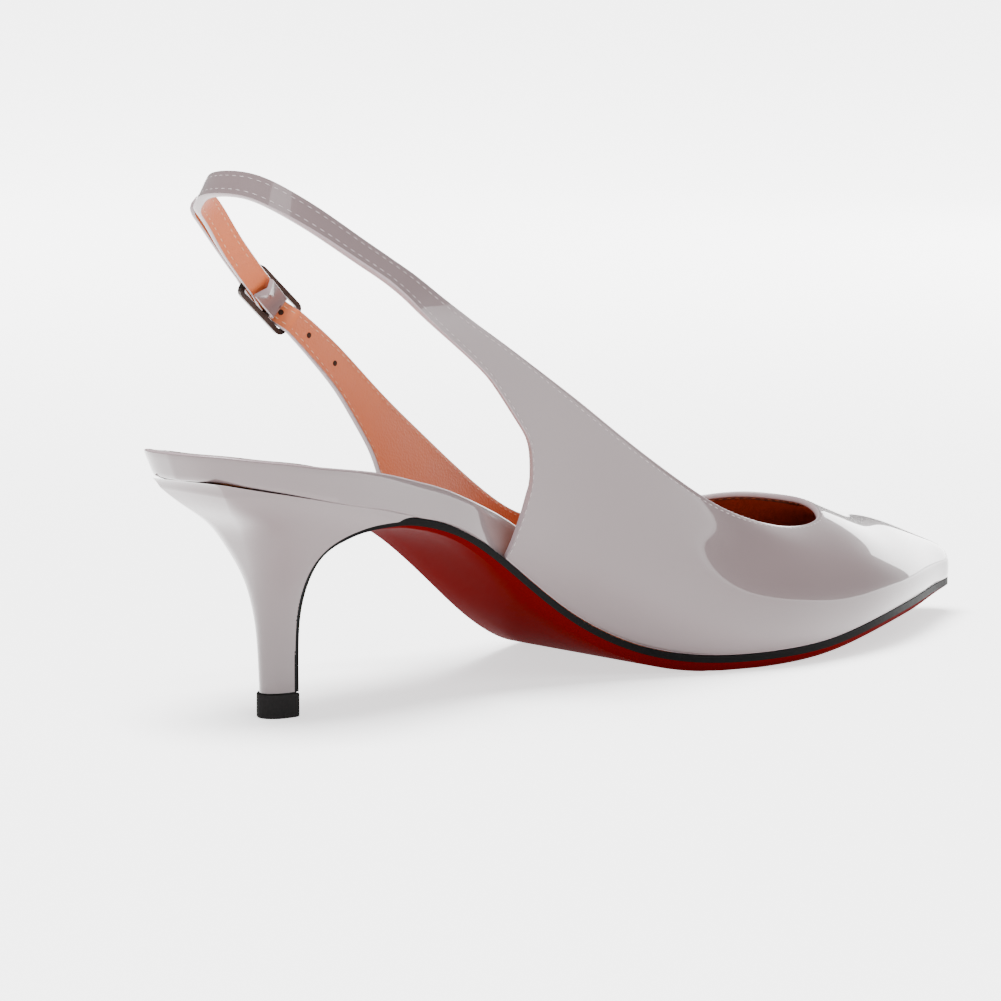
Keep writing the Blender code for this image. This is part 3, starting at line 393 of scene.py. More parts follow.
def on_last(rows):
    """Position and turn of each edge row, at the nearest point of its section."""
    found = []
    turns = np.linspace(-1.0, 1.0, 1201)
    positions = np.linspace(0.0, last_at.last, 2001)
    alongs = last_at(positions)["along"]
    for along, side, up in rows:
        position = np.interp(along, alongs, positions)
        section = last_point(np.full_like(turns, position), turns)
        far = np.hypot(section[:, 1] - sideways(side), section[:, 2] - upward(up))
        wrong_side = turns * side < -0.02
        found.append((position, turns[np.argmin(far + 1.0 * wrong_side)]))
    return found


def dense(rows, count):
    """Many (position, turn) pairs along a smooth line through the given ones."""
    at = row_spline(("position", "turn"), rows)
    spots = at(np.linspace(0, at.last, count))
    return np.stack([spots["position"], spots["turn"]], -1)


def running_length(points):
    """Length along a line, as far as each of its points."""
    steps = np.linalg.norm(np.diff(points, axis=0), axis=1)
    return np.concatenate([[0.0], np.cumsum(steps)])


def pick(line, shares):
    """Points of a line of (position, turn) pairs at shares of its real length."""
    run = running_length(last_point(line[:, 0], line[:, 1]))
    run /= run[-1]
    return np.stack([np.interp(shares, run, line[:, 0]), np.interp(shares, run, line[:, 1])], -1)


TOPLINE_STEPS = 41


def quarter_grid(columns, rows):
    """Outer faces of the two halves of the upper, each from its strap to the middle of the toe."""
    spots = np.linspace(0.0, last_at.last, 401)
    girths = half_girth(spots)
    top = dense(on_last(TOPLINE_ROWS), TOPLINE_STEPS * (len(TOPLINE_ROWS) - 1) + 1)
    split = TOPLINE_STEPS * THROAT_ROW
    shares = np.linspace(0.0, 1.0, columns + 1)
    shares = shares * (1.0 + 0.35 * (1.0 - shares))
    drop = np.linspace(0.0, 1.0, rows + 1)[None, :, None]
    halves = []
    for rear_rows, sign, edge in ((INNER_REAR_ROWS, -1.0, top[:split + 1]),
                                  (OUTER_REAR_ROWS, 1.0, top[:split - 1:-1])):
        rear = dense(on_last(rear_rows), 321)
        rear[-1, 1] = sign
        foot = np.linspace(rear[-1, 0], last_at.last, 481)[1:]
        low_line = np.vstack([rear, np.stack([foot, np.full_like(foot, sign)], -1)])
        flats = []
        for line in (edge, low_line):
            picked = pick(line, shares)
            picked[:, 1] *= np.interp(picked[:, 0], spots, girths)
            flats.append(picked[:, None])
        flat = flats[0] * (1.0 - drop) + flats[1] * drop
        turn = np.clip(flat[..., 1] / np.interp(flat[..., 0], spots, girths), -1.0, 1.0)
        halves.append(last_point(flat[..., 0], turn))
    return halves


def sling_points(rows):
    """Points of the sling's rows in the shoe's own sizes."""
    return np.stack([forward(rows["along"]), sideways(rows["side"]), upward(rows["up"])], -1)


class Sling:
    """The heel strap's middle line by real length, counted from the buckle's centre bar."""

    def __init__(self):
        self.spots = np.linspace(0.0, sling_row_at.last, 1601)
        rows = sling_row_at(self.spots)
        run = running_length(sling_points(rows))
        outer_half = self.spots > sling_row_at.last / 2.0
        self.run = run - np.interp(BAR_ALONG, rows["along"][outer_half], run[outer_half])
        self.start = self.run[0]
        self.end = self.run[-1]

    def at(self, run):
        """Point, forward, outward and upward directions, and width, at a length from the bar."""
        spots = np.interp([run - 0.0004, run, run + 0.0004], self.run, self.spots)
        rows = sling_row_at(spots)
        points = sling_points(rows)
        heading = points[2] - points[0]
        heading /= np.linalg.norm(heading)
        outward = np.cross((0.0, 0.0, 1.0), heading)
        outward /= np.linalg.norm(outward)
        across = np.cross(heading, outward)
        reach = min(run - self.start, self.end - run) / LEAN_RUN
        lean = STRAP_LEAN * min(max(reach, 0.0), 1.0)
        tilted = across * math.cos(lean) - outward * math.sin(lean)
        outward = outward * math.cos(lean) + across * math.sin(lean)
        return points[1], heading, outward, tilted, STRAP_WIDTH * rows["wide"][1]


sling = Sling()
WRAP = math.hypot(FRAME_BAR, FRAME_PLATE) / 2.0 + GAP + FOLD_THICK / 2.0
OVER_BAR = WRAP + FOLD_THICK / 2.0 + GAP + TAIL_THICK / 2.0


def ease(share):
    """Smooth step from 0 to 1."""
    share = np.clip(share, 0.0, 1.0)
    return share * share * (3.0 - 2.0 * share)


def sling_offset(run):
    """Outward shift of the strap: flush with the quarter at its joint, under the frame behind."""
    under = FRAME_OUT - FRAME_PLATE / 2.0 - GAP - STRAP_THICK / 2.0 - SLACK
    near_joint = 1.0 - ease((run - sling.start) / JOINT_RUN)
    return -STRAP_THICK / 2.0 * near_joint + under * ease((run - UNDER_FRAME) / UNDER_RUN)


def tail_offset(run):
    """How far outwards of the sling's line the buckle strap runs, at a length from the bar."""
    under_front = FRAME_OUT - FRAME_PLATE / 2.0 - GAP - TAIL_THICK / 2.0 - SLACK / 2.0
    over_sling = (STRAP_THICK + TAIL_THICK) / 2.0 + TAIL_LIFT
    front = REAR_BAR + FRAME_LENGTH - FRAME_BAR - SLACK
    if run > 0.0:
        drop = under_front - FRAME_OUT
        reach = math.hypot(front, drop)
        angle = math.atan2(-drop, -front) - math.asin(OVER_BAR / reach)
        touch = front + math.sqrt(reach * reach - OVER_BAR * OVER_BAR) * math.cos(angle)
        if run < touch:
            return FRAME_OUT + math.sqrt(OVER_BAR * OVER_BAR - run * run)
        height = under_front + min(run - front, 0.0) * math.tan(angle)
        joint = -0.45 * TAIL_THICK
        return height + (joint - under_front) * ease((run - front - FRAME_BAR) / TAIL_JOINT_RUN)
    loose = LOOSE_TIP * max((LOOSE_FROM - run) / (LOOSE_FROM - TAIL_END), 0.0) ** 1.5
    descent = (over_sling - FRAME_OUT - OVER_BAR) * ease(run / (2.0 * REAR_BAR))
    return FRAME_OUT + OVER_BAR + descent + loose


FOLD_STOPS = 13
BAR_STOPS = 15
TAIL_STOPS = 63


def sling_stops():
    """Stops of the sling, from its folded end round the bar and the heel to the inner quarter."""
    stops = []
    for share in np.linspace(1.0, 0.0, FOLD_STOPS + 1)[:-1]:
        offset = FRAME_OUT - WRAP - 0.0026 * share ** 1.2
        stops.append((-FOLD_BACK * share, offset, -math.pi + 0.32 * share ** 0.2, FOLD_THICK, 1.0))
    for angle in np.linspace(math.pi, 0.0, BAR_STOPS):
        stops.append((WRAP * math.sin(angle), FRAME_OUT + WRAP * math.cos(angle), -angle,
                      FOLD_THICK, 1.0))
    calm = REAR_BAR - 0.002
    low = sling_offset(calm)
    climb = FRAME_OUT + WRAP - low
    for share in np.linspace(1.0, 0.0, 24)[1:]:
        late = max(share - 0.25, 0.0) / 0.75
        slope = math.atan(6.0 * late * (1.0 - late) * climb / (-0.75 * calm))
        thick = STRAP_THICK + (FOLD_THICK - STRAP_THICK) * min(share * 2.0, 1.0)
        stops.append((calm * (1.0 - share), low + ease(late) * climb, slope, thick, 1.0))
    for run in np.linspace(calm, sling.start, 120)[1:]:
        stops.append((run, sling_offset(run), 0.0, STRAP_THICK, 1.0))
    return stops


def tail_stops():
    """Stops of the buckle strap, from the outer quarter through the buckle to its tip."""
    stops = []
    front = REAR_BAR + FRAME_LENGTH
    runs = list(np.linspace(sling.end, front, 3)) + list(np.linspace(front, 0.0, 36)[1:])
    runs += list(np.linspace(0.0, TAIL_END, TAIL_STOPS + 1)[1:])
    for run in runs:
        rise = (tail_offset(run + 0.0003) - tail_offset(run - 0.0003)) / 0.0006
        left = min(max((run - TAIL_END) / TIP_ROUND, 0.0), 1.0)
        narrow = 0.35 + 0.65 * math.sqrt(1.0 - (1.0 - left) ** 2)
        stops.append((run, tail_offset(run), math.atan(rise), TAIL_THICK, narrow))
    return stops


def strap_faces(stops, rows):
    """Outer face of a strap through its stops, and its thickness at each."""
    faces = []
    thicks = []
    for run, offset, turn, thick, narrow in stops:
        point, heading, outward, across, width = sling.at(run)
        face = outward * math.cos(turn) - heading * math.sin(turn)
        centre = point + outward * offset + face * thick / 2.0
        spread = np.linspace(0.5, -0.5, rows + 1)[:, None] * width * narrow
        faces.append(centre + across * spread)
        thicks.append(thick)
    return np.array(faces), np.array(thicks)


NOTCH_COLUMNS = 8
JOINT_REACH = 9
JOINT_TURNS = 40


def band_faces(rows, columns):
    """Outer face of the whole band, its thickness by column, and the columns of each part."""
    inner_half, outer_half = quarter_grid(columns, rows)
    sling_part, sling_thick = strap_faces(sling_stops(), rows)
    middle = 1.0 - np.abs(np.linspace(-1.0, 1.0, rows + 1))[:, None]
    _point, heading, *_rest = sling.at(-FOLD_BACK)
    for column in range(NOTCH_COLUMNS):
        sling_part[column] += heading * FOLD_NOTCH * (1.0 - column / NOTCH_COLUMNS) * middle
    tail_part, tail_thick = strap_faces(tail_stops(), rows)
    faces = np.concatenate([sling_part[:-1], inner_half, outer_half[-2::-1], tail_part[1:]])
    wall = np.full(len(inner_half) + len(outer_half) - 1, WALL)
    thick = np.concatenate([sling_thick[:-1], wall, tail_thick[1:]])
    joints = (len(sling_part) - 1, len(faces) - len(tail_part))
    weight = np.hanning(2 * JOINT_REACH + 1)[1:-1, None, None] * 0.5
    for joint in joints:
        near = slice(joint - JOINT_REACH, joint + JOINT_REACH + 1)
        for _turn in range(JOINT_TURNS):
            patch = faces[near].copy()
            patch[1:-1] += weight * (0.5 * (patch[:-2] + patch[2:]) - patch[1:-1])
            faces[near] = patch
            thin = thick[near]
            thin[1:-1] = (thin[:-2] + thin[1:-1] + thin[2:]) / 3.0
    return faces, thick, joints


def unit(vectors):
    """The same directions at length 1."""
    return vectors / np.maximum(np.linalg.norm(vectors, axis=-1, keepdims=True), 1e-12)


def outward_normals(faces):
    """Direction square to a grid of points, at each of them."""
    along = np.gradient(faces, axis=0)
    across = np.gradient(faces, axis=1)
    return unit(np.cross(across, along))


BAND_ROWS = 22
HALF_COLUMNS = 150
FACING_COLUMNS = 75
band, band_thick, band_joints = band_faces(BAND_ROWS, HALF_COLUMNS)
band_out = outward_normals(band)
toe_column = (band_joints[0] + band_joints[1]) // 2


def rounded_edge(corner, inwards, out, thick, curve):
    """Points over a rounded cut edge, from the outer face to the lining."""
    rim = ((0.29, 0.29), (0.0, 1.0))
    points = [corner + inwards * curve * inset - out * depth * curve for inset, depth in rim]
    points += [corner + inwards * curve * inset - out * (thick - depth * curve)
               for inset, depth in rim[::-1]]
    return points


OUTSIDE = 0
INSIDE = 1
EDGE = 2


def band_rings():
    """Closed rings round the band: outer face, low edge, lining and top edge, and their finishes."""
    rings = []
    for face, out, thick in zip(band, band_out, band_thick):
        down = unit(face[1:] - face[:-1])
        width = np.linalg.norm(np.diff(face, axis=0), axis=1).sum()
        curve = min(EDGE_ROUND, thick * 0.42, width * 0.3)
        outer = face.copy()
        outer[0] += down[0] * min(curve, 0.8 * np.linalg.norm(face[1] - face[0]))
        outer[-1] -= down[-1] * min(curve, 0.8 * np.linalg.norm(face[-1] - face[-2]))
        inner = outer - out * thick
        low = rounded_edge(face[-1], -down[-1], out[-1], thick, curve)
        top = rounded_edge(face[0], down[0], out[0], thick, curve)
        rings.append(list(outer) + low + list(inner[::-1]) + top[::-1])
    edge = [EDGE] * (len(low) + 1)
    marks = [OUTSIDE] * BAND_ROWS + edge + [INSIDE] * BAND_ROWS + edge
    marks = np.array(marks) + np.zeros((len(rings), 1), int)
    throat = slice(toe_column - FACING_COLUMNS, toe_column + FACING_COLUMNS)
    marks[throat, -len(edge) - 1] = OUTSIDE
    return np.array(rings), marks


def skin(name, rings, materials, marks=0):
    """A closed tube through rings, from a grid rolled up and welded along its seam."""
    rings = np.asarray(rings, float)
    count, around = rings.shape[:2]
    marks = np.asarray(marks) + np.zeros((count, around), int)
    body = bmesh.new()
    bmesh.ops.create_grid(body, x_segments=count - 1, y_segments=around, size=1.0)
    for corner in body.verts:
        column = int(round((corner.co.x + 1.0) / 2.0 * (count - 1)))
        row = int(round((corner.co.y + 1.0) / 2.0 * around))
        corner.co = (column, row, 0.0)
    for face in body.faces:
        column = min(int(corner.co.x) for corner in face.verts)
        row = min(int(corner.co.y) for corner in face.verts)
        face.material_index = int(marks[column, row])
    for corner in body.verts:
        corner.co = rings[int(corner.co.x), int(corner.co.y) % around]
    bmesh.ops.remove_doubles(body, verts=body.verts, dist=1e-7)
    border = [edge for edge in body.edges if edge.is_boundary]
    for face in bmesh.ops.holes_fill(body, edges=border)["faces"]:
        face.material_index = int(marks.max())
    bmesh.ops.recalc_face_normals(body, faces=body.faces)
    return shown(name, body, materials)


def shown(name, body, materials, sharp=35.0):
    """A finished piece from its bmesh, smooth where it curves, riding on the shoe."""
    mesh = bpy.data.meshes.new(name)
    body.to_mesh(mesh)
    body.free()
    mesh.shade_smooth()
    mesh.set_sharp_from_angle(angle=math.radians(sharp))
    for material in materials:
        mesh.materials.append(material)
    piece = bpy.data.objects.new(name, mesh)
    bpy.context.scene.collection.objects.link(piece)
    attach(piece, "root")
    return piece


rings, marks = band_rings()
upper = skin("upper_and_straps", rings, (patent, lining, edge_paint), marks)
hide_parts("upper", "sling_strap", "buckle_strap")

# Strap holes
# The buckle strap has three spare round holes for the prong. Each is a dark disc set through the
# strap rather than cut: painted shade standing for the hole, finely speckled like the fibres of cut
# leather round it.
HOLE_WIDE = 0.0013
HOLE_ALONGS = (0.228, 0.251, 0.280)
HOLE_PROUD = 0.00008
# Painted shade: the dark colour that stands for the inside of each hole
hole_shade, shader, place = finish("painted_hole_shade", IOR=1.2)
fibre = speckle(place, 1500.0, 2.0)
feed(shader, "Base Color", between(fibre, (0.010, 0.005, 0.003), (0.040, 0.018, 0.010)))
feed(shader, "Roughness", 0.7 + 0.2 * fibre)

# A dark disc through the strap at each hole, painted shade in place of a cut hole
body = bmesh.new()
middle_line = band[:, BAND_ROWS // 2]
for along in HOLE_ALONGS:
    places = middle_line[toe_column:-TAIL_STOPS, 0]
    column = toe_column + int(np.argmin(np.abs(places - forward(along))))
    out = band_out[column, BAND_ROWS // 2]
    spot = middle_line[column] - out * band_thick[column] / 2.0
    heading = unit(middle_line[column + 1] - middle_line[column])
    side = np.cross(out, heading)
    turn = Matrix((heading, side, out)).transposed().to_4x4()
    bmesh.ops.create_cone(body, cap_ends=True, segments=32, radius1=HOLE_WIDE / 2.0,
                          radius2=HOLE_WIDE / 2.0, depth=band_thick[column] + 2.0 * HOLE_PROUD,
                          matrix=Matrix.Translation(Vector(spot)) @ turn)
holes = shown("strap_holes", body, (hole_shade,))

# Stitching
# Fine thread in the leather's own hue runs close to every cut edge of the band, its colour painted
# lighter than the leather as a highlight for the glints the stitches catch; on the lining side it
# shows paler. Each stitch is a short bar of thread pulled a little into the leather.
STITCH_PITCH = 0.0021
STITCH_LENGTH = 0.00140
THREAD_THICK = 0.00026
SEAM_INSET = 0.0013

# Painted highlight: this thread is lighter than the leather, for the glints on the stitches
thread, shader, place = finish("thread", Specular_IOR_Level=0.6)
twist = speckle(place, 2500.0, 2.0)
feed(shader, "Base Color", between(twist, (0.20, 0.160, 0.163), (0.29, 0.245, 0.248)))
feed(shader, "Roughness", 0.4 + 0.2 * twist)

pale_thread, shader, place = finish("lining_thread", Specular_IOR_Level=0.4)
twist = speckle(place, 2500.0, 2.0)
feed(shader, "Base Color", between(twist, (0.42, 0.215, 0.120), (0.54, 0.310, 0.190)))
feed(shader, "Roughness", 0.5 + 0.2 * twist)


def seam_line(first, last, from_top, inner):
    """Points and outward directions of a seam along the band, a little in from one edge."""
    points = []
    outs = []
    for column in range(first, last + 1):
        face = band[column] if from_top else band[column][::-1]
        out = band_out[column] if from_top else band_out[column][::-1]
        run = running_length(face)
        spot = min(SEAM_INSET, run[-1] * 0.4)
        point = np.array([np.interp(spot, run, face[:, axis]) for axis in range(3)])
        normal = unit(np.array([np.interp(spot, run, out[:, axis]) for axis in range(3)]))
        if inner:
            point = point - normal * band_thick[column]
            normal = -normal
        points.append(point)
        outs.append(normal)
    return np.array(points), np.array(outs)


def stitches(name, lines, material):
    """Short bars of thread, evenly spaced along each seam."""
    body = bmesh.new()
    for points, outs in lines:
        run = running_length(points)
        count = int(run[-1] / STITCH_PITCH)
        for number in range(count):
            middle = (number + 0.5) * run[-1] / count
            ends = [np.array([np.interp(spot, run, points[:, axis]) for axis in range(3)])
                    for spot in (middle - STITCH_LENGTH / 2.0, middle + STITCH_LENGTH / 2.0)]
            out = Vector([np.interp(middle, run, outs[:, axis]) for axis in range(3)]).normalized()
            heading = Vector(ends[1] - ends[0])
            length = heading.length
            heading.normalize()
            side = out.cross(heading).normalized()
            centre = Vector((ends[0] + ends[1]) / 2.0)
            turn = Matrix((heading, side, out)).transposed().to_4x4()
            size = Matrix.Diagonal((length / 2.0, THREAD_THICK / 2.0, THREAD_THICK / 2.6, 1.0))
            bmesh.ops.create_icosphere(body, subdivisions=1, radius=1.0,
                                       matrix=Matrix.Translation(centre) @ turn @ size)
    return shown(name, body, (material,), 80.0)


# Columns of the band where the seams start past the fold, break at the throat and stop
OUTER_START = FOLD_STOPS + BAR_STOPS + 22
INNER_START = FOLD_STOPS + BAR_STOPS + 26
THROAT_BREAK = 4
seam_end = len(band) - 12

# The seam on the low edge of each quarter ends at its foot, where the rear edge meets the sole
foot_along, _side, foot_up = INNER_REAR_ROWS[-1]
feet = np.linalg.norm(band[:, -1, [0, 2]] - (forward(foot_along), upward(foot_up)), axis=1)
rear_span = int(np.argmin(feet[band_joints[0]:toe_column]))


def seams(start, throat_break, inner):
    """Seams on both edges of the band, on its outer face or its lining."""
    return [
        seam_line(start, toe_column - throat_break, True, inner),
        seam_line(toe_column + throat_break, seam_end, True, inner),
        seam_line(start, band_joints[0] + rear_span, False, inner),
        seam_line(band_joints[1] - rear_span, seam_end, False, inner),
    ]


outer_stitching = stitches("outer_stitching", seams(OUTER_START, THROAT_BREAK, False), thread)
lining_stitching = stitches("lining_stitching", seams(INNER_START, 0, True), pale_thread)

# Sole
# A thin leather sole, lacquered plain red underneath and blacked round its edge. It runs on
# from the waist down the breast of the heel as far as the top piece.
SOLE_THICK = 0.0038
SOLE_EDGE = 0.0014
TOP_PIECE_HEIGHT = 0.0056
BREAST_COLUMNS = ("along", "edge_up", "edge_in", "edge_out", "sole")
BREAST_ROWS = (
    (0.134, 0.116, 0.051, 0.051, 0.27),
    (0.133, 0.257, 0.055, 0.055, 0.27),
    (0.132, 0.404, 0.066, 0.066, 0.27),
    (0.133, 0.532, 0.089, 0.089, 0.28),
    (0.136, 0.633, 0.121, 0.121, 0.30),
    (0.142, 0.708, 0.156, 0.156, 0.34),
    (0.155, 0.765, 0.192, 0.193, 0.40),
    (0.176, 0.802, 0.223, 0.226, 0.48),
    (0.202, 0.811, 0.234, 0.236, 0.54),
)
SOLE_COLUMNS = ("along", "middle", "edge_in", "edge_out", "edge_up", "sole")

red_sole, shader, place = finish("red_sole", IOR=1.015)
cloud = speckle(place, 35.0, 4.0)
feed(shader, "Base Color", between(cloud, (0.050, 0.0002, 0.0001), (0.072, 0.0003, 0.0002)))
feed(shader, "Roughness", 0.28 + 0.2 * cloud)
feed(shader, "Normal", relief(speckle(place, 1500.0, 2.0) + cloud, 0.15, 0.00005))

black_edge, shader, place = finish("black_edge", IOR=1.10)
fibre = speckle(place, 1200.0, 3.0)
feed(shader, "Base Color", between(fibre, (0.0025, 0.0025, 0.0025), (0.006, 0.0055, 0.0055)))
feed(shader, "Roughness", 0.35 + 0.2 * fibre)
feed(shader, "Normal", relief(fibre, 0.2, 0.00004))

sole_rows = []
for columns, rows in ((BREAST_COLUMNS, BREAST_ROWS), (LAST_COLUMNS, LAST_ROWS)):
    for row in rows:
        named = {"middle": 0.0, **dict(zip(columns, row))}
        sole_rows.append([named[name] for name in SOLE_COLUMNS])
sole_at = row_spline(SOLE_COLUMNS, sole_rows, ("edge_in", "edge_out"), mirrored=True)


def sole_line(position):
    """Row of the sole's upper face and its direction, forwards and upwards."""
    row = sole_at(position)
    before = sole_at(position - 0.02)
    after = sole_at(position + 0.02)
    run = forward(after["along"]) - forward(before["along"])
    rise = upward(after["edge_up"]) - upward(before["edge_up"])
    length = math.hypot(run, rise)
    return row, run / length, rise / length


waist = float(len(BREAST_ROWS))
toe = sole_at.last - 0.03
rings = []
for position in np.concatenate([np.linspace(0.0, waist, 70), np.linspace(waist, toe, 130)[1:]]):
    row, run, rise = sole_line(position)
    depth = float(SOLE_THICK * row["sole"])
    edge = min(SOLE_EDGE, depth * 0.92)
    inner = float(sideways(row["edge_in"]))
    outer = float(sideways(row["edge_out"]))
    inset = 0.1 * (inner + outer) / 2.0
    profile = [(0.0, level) for level in (-0.9 * GAP, 0.25 * edge, 0.5 * edge, 0.75 * edge, edge)]
    for share in (0.12, 0.3, 0.5, 0.72, 1.0):
        profile.append((inset * share, edge + (depth - edge) * math.sin(share * math.pi / 2.0)))
    left = [(-inner + step, down) for step, down in profile]
    right = [(outer - step, down) for step, down in profile[::-1]]
    centre = [((outer - inner) / 2.0 - (inner + outer) * share, depth)
              for share in (0.25, 0.0, -0.25)]
    ring = []
    for side, down in left + centre + right:
        height = float(upward(row["edge_up"])) - run * down
        ring.append((float(forward(row["along"])) + rise * down,
                     float(sideways(row["middle"])) + side, max(height, 0.0)))
    rings.append(ring)
rings.insert(0, [(x, side, TOP_PIECE_HEIGHT + 0.0001) for x, side, _height in rings[0]])
BLACKED = 0
RED = 1
marks = [BLACKED] * 4 + [RED] * 14 + [BLACKED] * 5
outsole = skin("outsole_dressed", rings, (black_edge, red_sole), marks)
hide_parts("outsole")

# Seat cover
# A strip of the same patent wraps the edge of the board round the open seat, from quarter to
# quarter, its top edge turned over and painted.
COVER_WALL = 0.0016
COVER_LIP = 0.0004
COVER_ROUND = 0.0008
SEAT_LEAN = 0.0024
SEAT_TIP = 0.0007
SEAT_COLUMNS = ("along", "half_in", "half_out", "bottom", "top")
SEAT_ROWS = (
    (-0.001, 0.000, 0.000, 1.030, 1.147),
    (0.004, 0.107, 0.107, 1.031, 1.145),
    (0.016, 0.184, 0.184, 1.026, 1.139),
    (0.036, 0.239, 0.239, 1.005, 1.123),
    (0.066, 0.287, 0.287, 0.974, 1.101),
    (0.099, 0.312, 0.312, 0.940, 1.074),
    (0.141, 0.313, 0.313, 0.897, 1.044),
    (0.182, 0.298, 0.301, 0.861, 1.010),
    (0.227, 0.275, 0.283, 0.818, 0.966),
    (0.267, 0.258, 0.274, 0.772, 0.912),
    (0.308, 0.238, 0.262, 0.689, 0.838),
    (0.345, 0.208, 0.240, 0.584, 0.766),
    (0.375, 0.198, 0.245, 0.484, 0.688),
)
seat_at = row_spline(SEAT_COLUMNS, SEAT_ROWS)


def seat_outline(position, inner):
    """Place and side of the seat's inner or outer edge."""
    row = seat_at(position)
    half = row["half_in"] if inner else row["half_out"]
    return forward(row["along"]), sideways(-half if inner else half)


def seat_height(along, column):
    """Share of the seat height at a place along the shoe, of the strip's bottom or its top."""
    rows = seat_at(np.linspace(0.0, seat_at.last, 801))
    return np.interp(along, rows["along"], rows[column])


def seat_lean(along):
    """How far the seat's lower edge lies inside its upper edge, most at the back."""
    return SEAT_LEAN * (1.0 - ease((along - 0.05) / 0.2))


def seat_tip(x, y):
    """Rise of the seat towards the inner side, gone at the waist."""
    along = (x + TIP_SET) / SHOE_LENGTH
    return -SEAT_TIP * y / sideways(0.3) * (1.0 - ease((along - 0.17) / 0.07))


shares = np.linspace(0.0, 1.0, 90)
front = seat_at.last - 0.03
path = [(front * (1.0 - share), True) for share in shares]
path += [(front * share, False) for share in shares[1:]]
points = np.array([seat_outline(position, side) for position, side in path], float)
ahead = unit(np.gradient(points, axis=0))
rings = []
for number, (position, side) in enumerate(path):
    outward = np.array([-ahead[number, 1], ahead[number, 0]])
    row = seat_at(position)
    bottom = float(upward(row["bottom"]))
    top = float(upward(row["top"]))
    profile = [
        (-COVER_WALL, bottom),
        (-0.6 * COVER_WALL, bottom - 0.0001),
        (-0.25 * COVER_WALL, bottom),
        (-0.05 * COVER_WALL, bottom + 0.0003),
    ]
    profile += [(0.0, bottom + (top - bottom) * share) for share in (0.2, 0.4, 0.6, 0.75)]
    for angle in np.linspace(0.0, math.pi / 2.0, 6)[1:]:
        offset = -COVER_ROUND + COVER_ROUND * math.cos(angle)
        profile.append((offset, top - COVER_ROUND + COVER_ROUND * math.sin(angle)))
    profile.append((-COVER_WALL, top))
    lean = seat_lean(row["along"])
    ring = []
    for offset, height in profile:
        spot = points[number] + outward * (offset - lean * (top - height) / (top - bottom))
        ring.append((spot[0], spot[1], height + seat_tip(spot[0], spot[1])))
    rings.append(ring)
WRAPPED = 0
PAINTED = 1
marks = [WRAPPED] * 9 + [PAINTED] * 4 + [WRAPPED]
cover = skin("seat_cover_dressed", rings, (patent, edge_paint), marks)
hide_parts("seat_cover")

# Sock and board
# The tan sock is laid on the board with a soft edge, and the board's edge under the open waist
# is covered in the same leather.
SOCK_THICK = 0.001
SOCK_SINK = 0.0006
BOARD_THICK = 0.003
BOARD_LEAN = 0.3
BOARD_STOP = 2.35
SOCK_EDGE = 0.0009


def seat_inset(inset, x):
    """Inner and outer edge of the seat's outline moved inwards by inset, at a place along it."""
    spots = np.linspace(0.0, seat_at.last, 801)
    inset = inset + BOARD_LEAN * seat_lean(seat_at(spots)["along"])[:, None]
    edges = []
    for inner in (True, False):
        outline = np.stack(seat_outline(spots, inner), -1)
        heading = unit(np.gradient(outline, axis=0))
        inwards = np.stack([-heading[:, 1], heading[:, 0]], -1) * (1.0 if inner else -1.0)
        moved = outline + inset * inwards
        edges.append(np.interp(x, moved[:, 0], moved[:, 1]))
    return edges


sections = []
inset = COVER_WALL + GAP / 2.0
back = float(forward(SEAT_ROWS[0][0])) + inset + BOARD_LEAN * SEAT_LEAN
front = float(forward(SEAT_ROWS[-1][0]))
for share in np.linspace(0.0, 1.0, 60):
    x = back + 0.0001 + (front - back - 0.0001) * share ** 1.7
    along = (x + TIP_SET) / SHOE_LENGTH
    inner, outer = seat_inset(inset, x)
    top = float(upward(seat_height(along, "top"))) - SOCK_THICK - GAP - SOCK_SINK
    sections.append((x, inner, outer, top))
seat_depth = sections[-1][3] - float(upward(SEAT_ROWS[-1][3])) - GAP
inset = WALL + GAP
positions = np.linspace(0.0, last_at.last, 2001)
start = np.interp(SEAT_ROWS[-1][0], last_at(positions)["along"], positions)
for position in np.linspace(start + 0.6, last_at.last - BOARD_STOP, 60):
    row = last_at(position)
    middle = float(sideways(row["middle"]))
    inner = float(sideways(row["edge_in"])) - inset
    outer = float(sideways(row["edge_out"])) - inset
    bottom = float(upward(row["edge_up"])) + GAP
    fade = ease((position - start) / 3.0)
    depth = seat_depth + (BOARD_THICK - seat_depth) * fade
    sections.append((float(forward(row["along"])), middle - inner, middle + outer, bottom + depth))
rings = []
for x, inner, outer, top in sections:
    high = top + SOCK_THICK + GAP * 0.8
    soft = min(SOCK_EDGE, (outer - inner) * 0.2)
    edge = [(soft - soft * math.cos(turn), high - soft * 0.6 + soft * 0.6 * math.sin(turn))
            for turn in np.radians((0.0, 30.0, 60.0, 90.0))]
    ring = [(x, inner, top + GAP * 0.5), (x, outer, top + GAP * 0.5)]
    ring += [(x, outer - step, height) for step, height in edge]
    for share in (0.25, 0.5, 0.75):
        ring.append((x, outer + (inner - outer) * share, high + 0.0002 * math.sin(share * math.pi)))
    ring += [(x, inner + step, height) for step, height in edge[::-1]]
    rings.append([(x, y, z + seat_tip(x, y)) for x, y, z in ring])
sock = skin("sock_dressed", rings, (lining,))
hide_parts("sock")
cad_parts["insole"].data.materials.clear()
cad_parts["insole"].data.materials.append(lining)

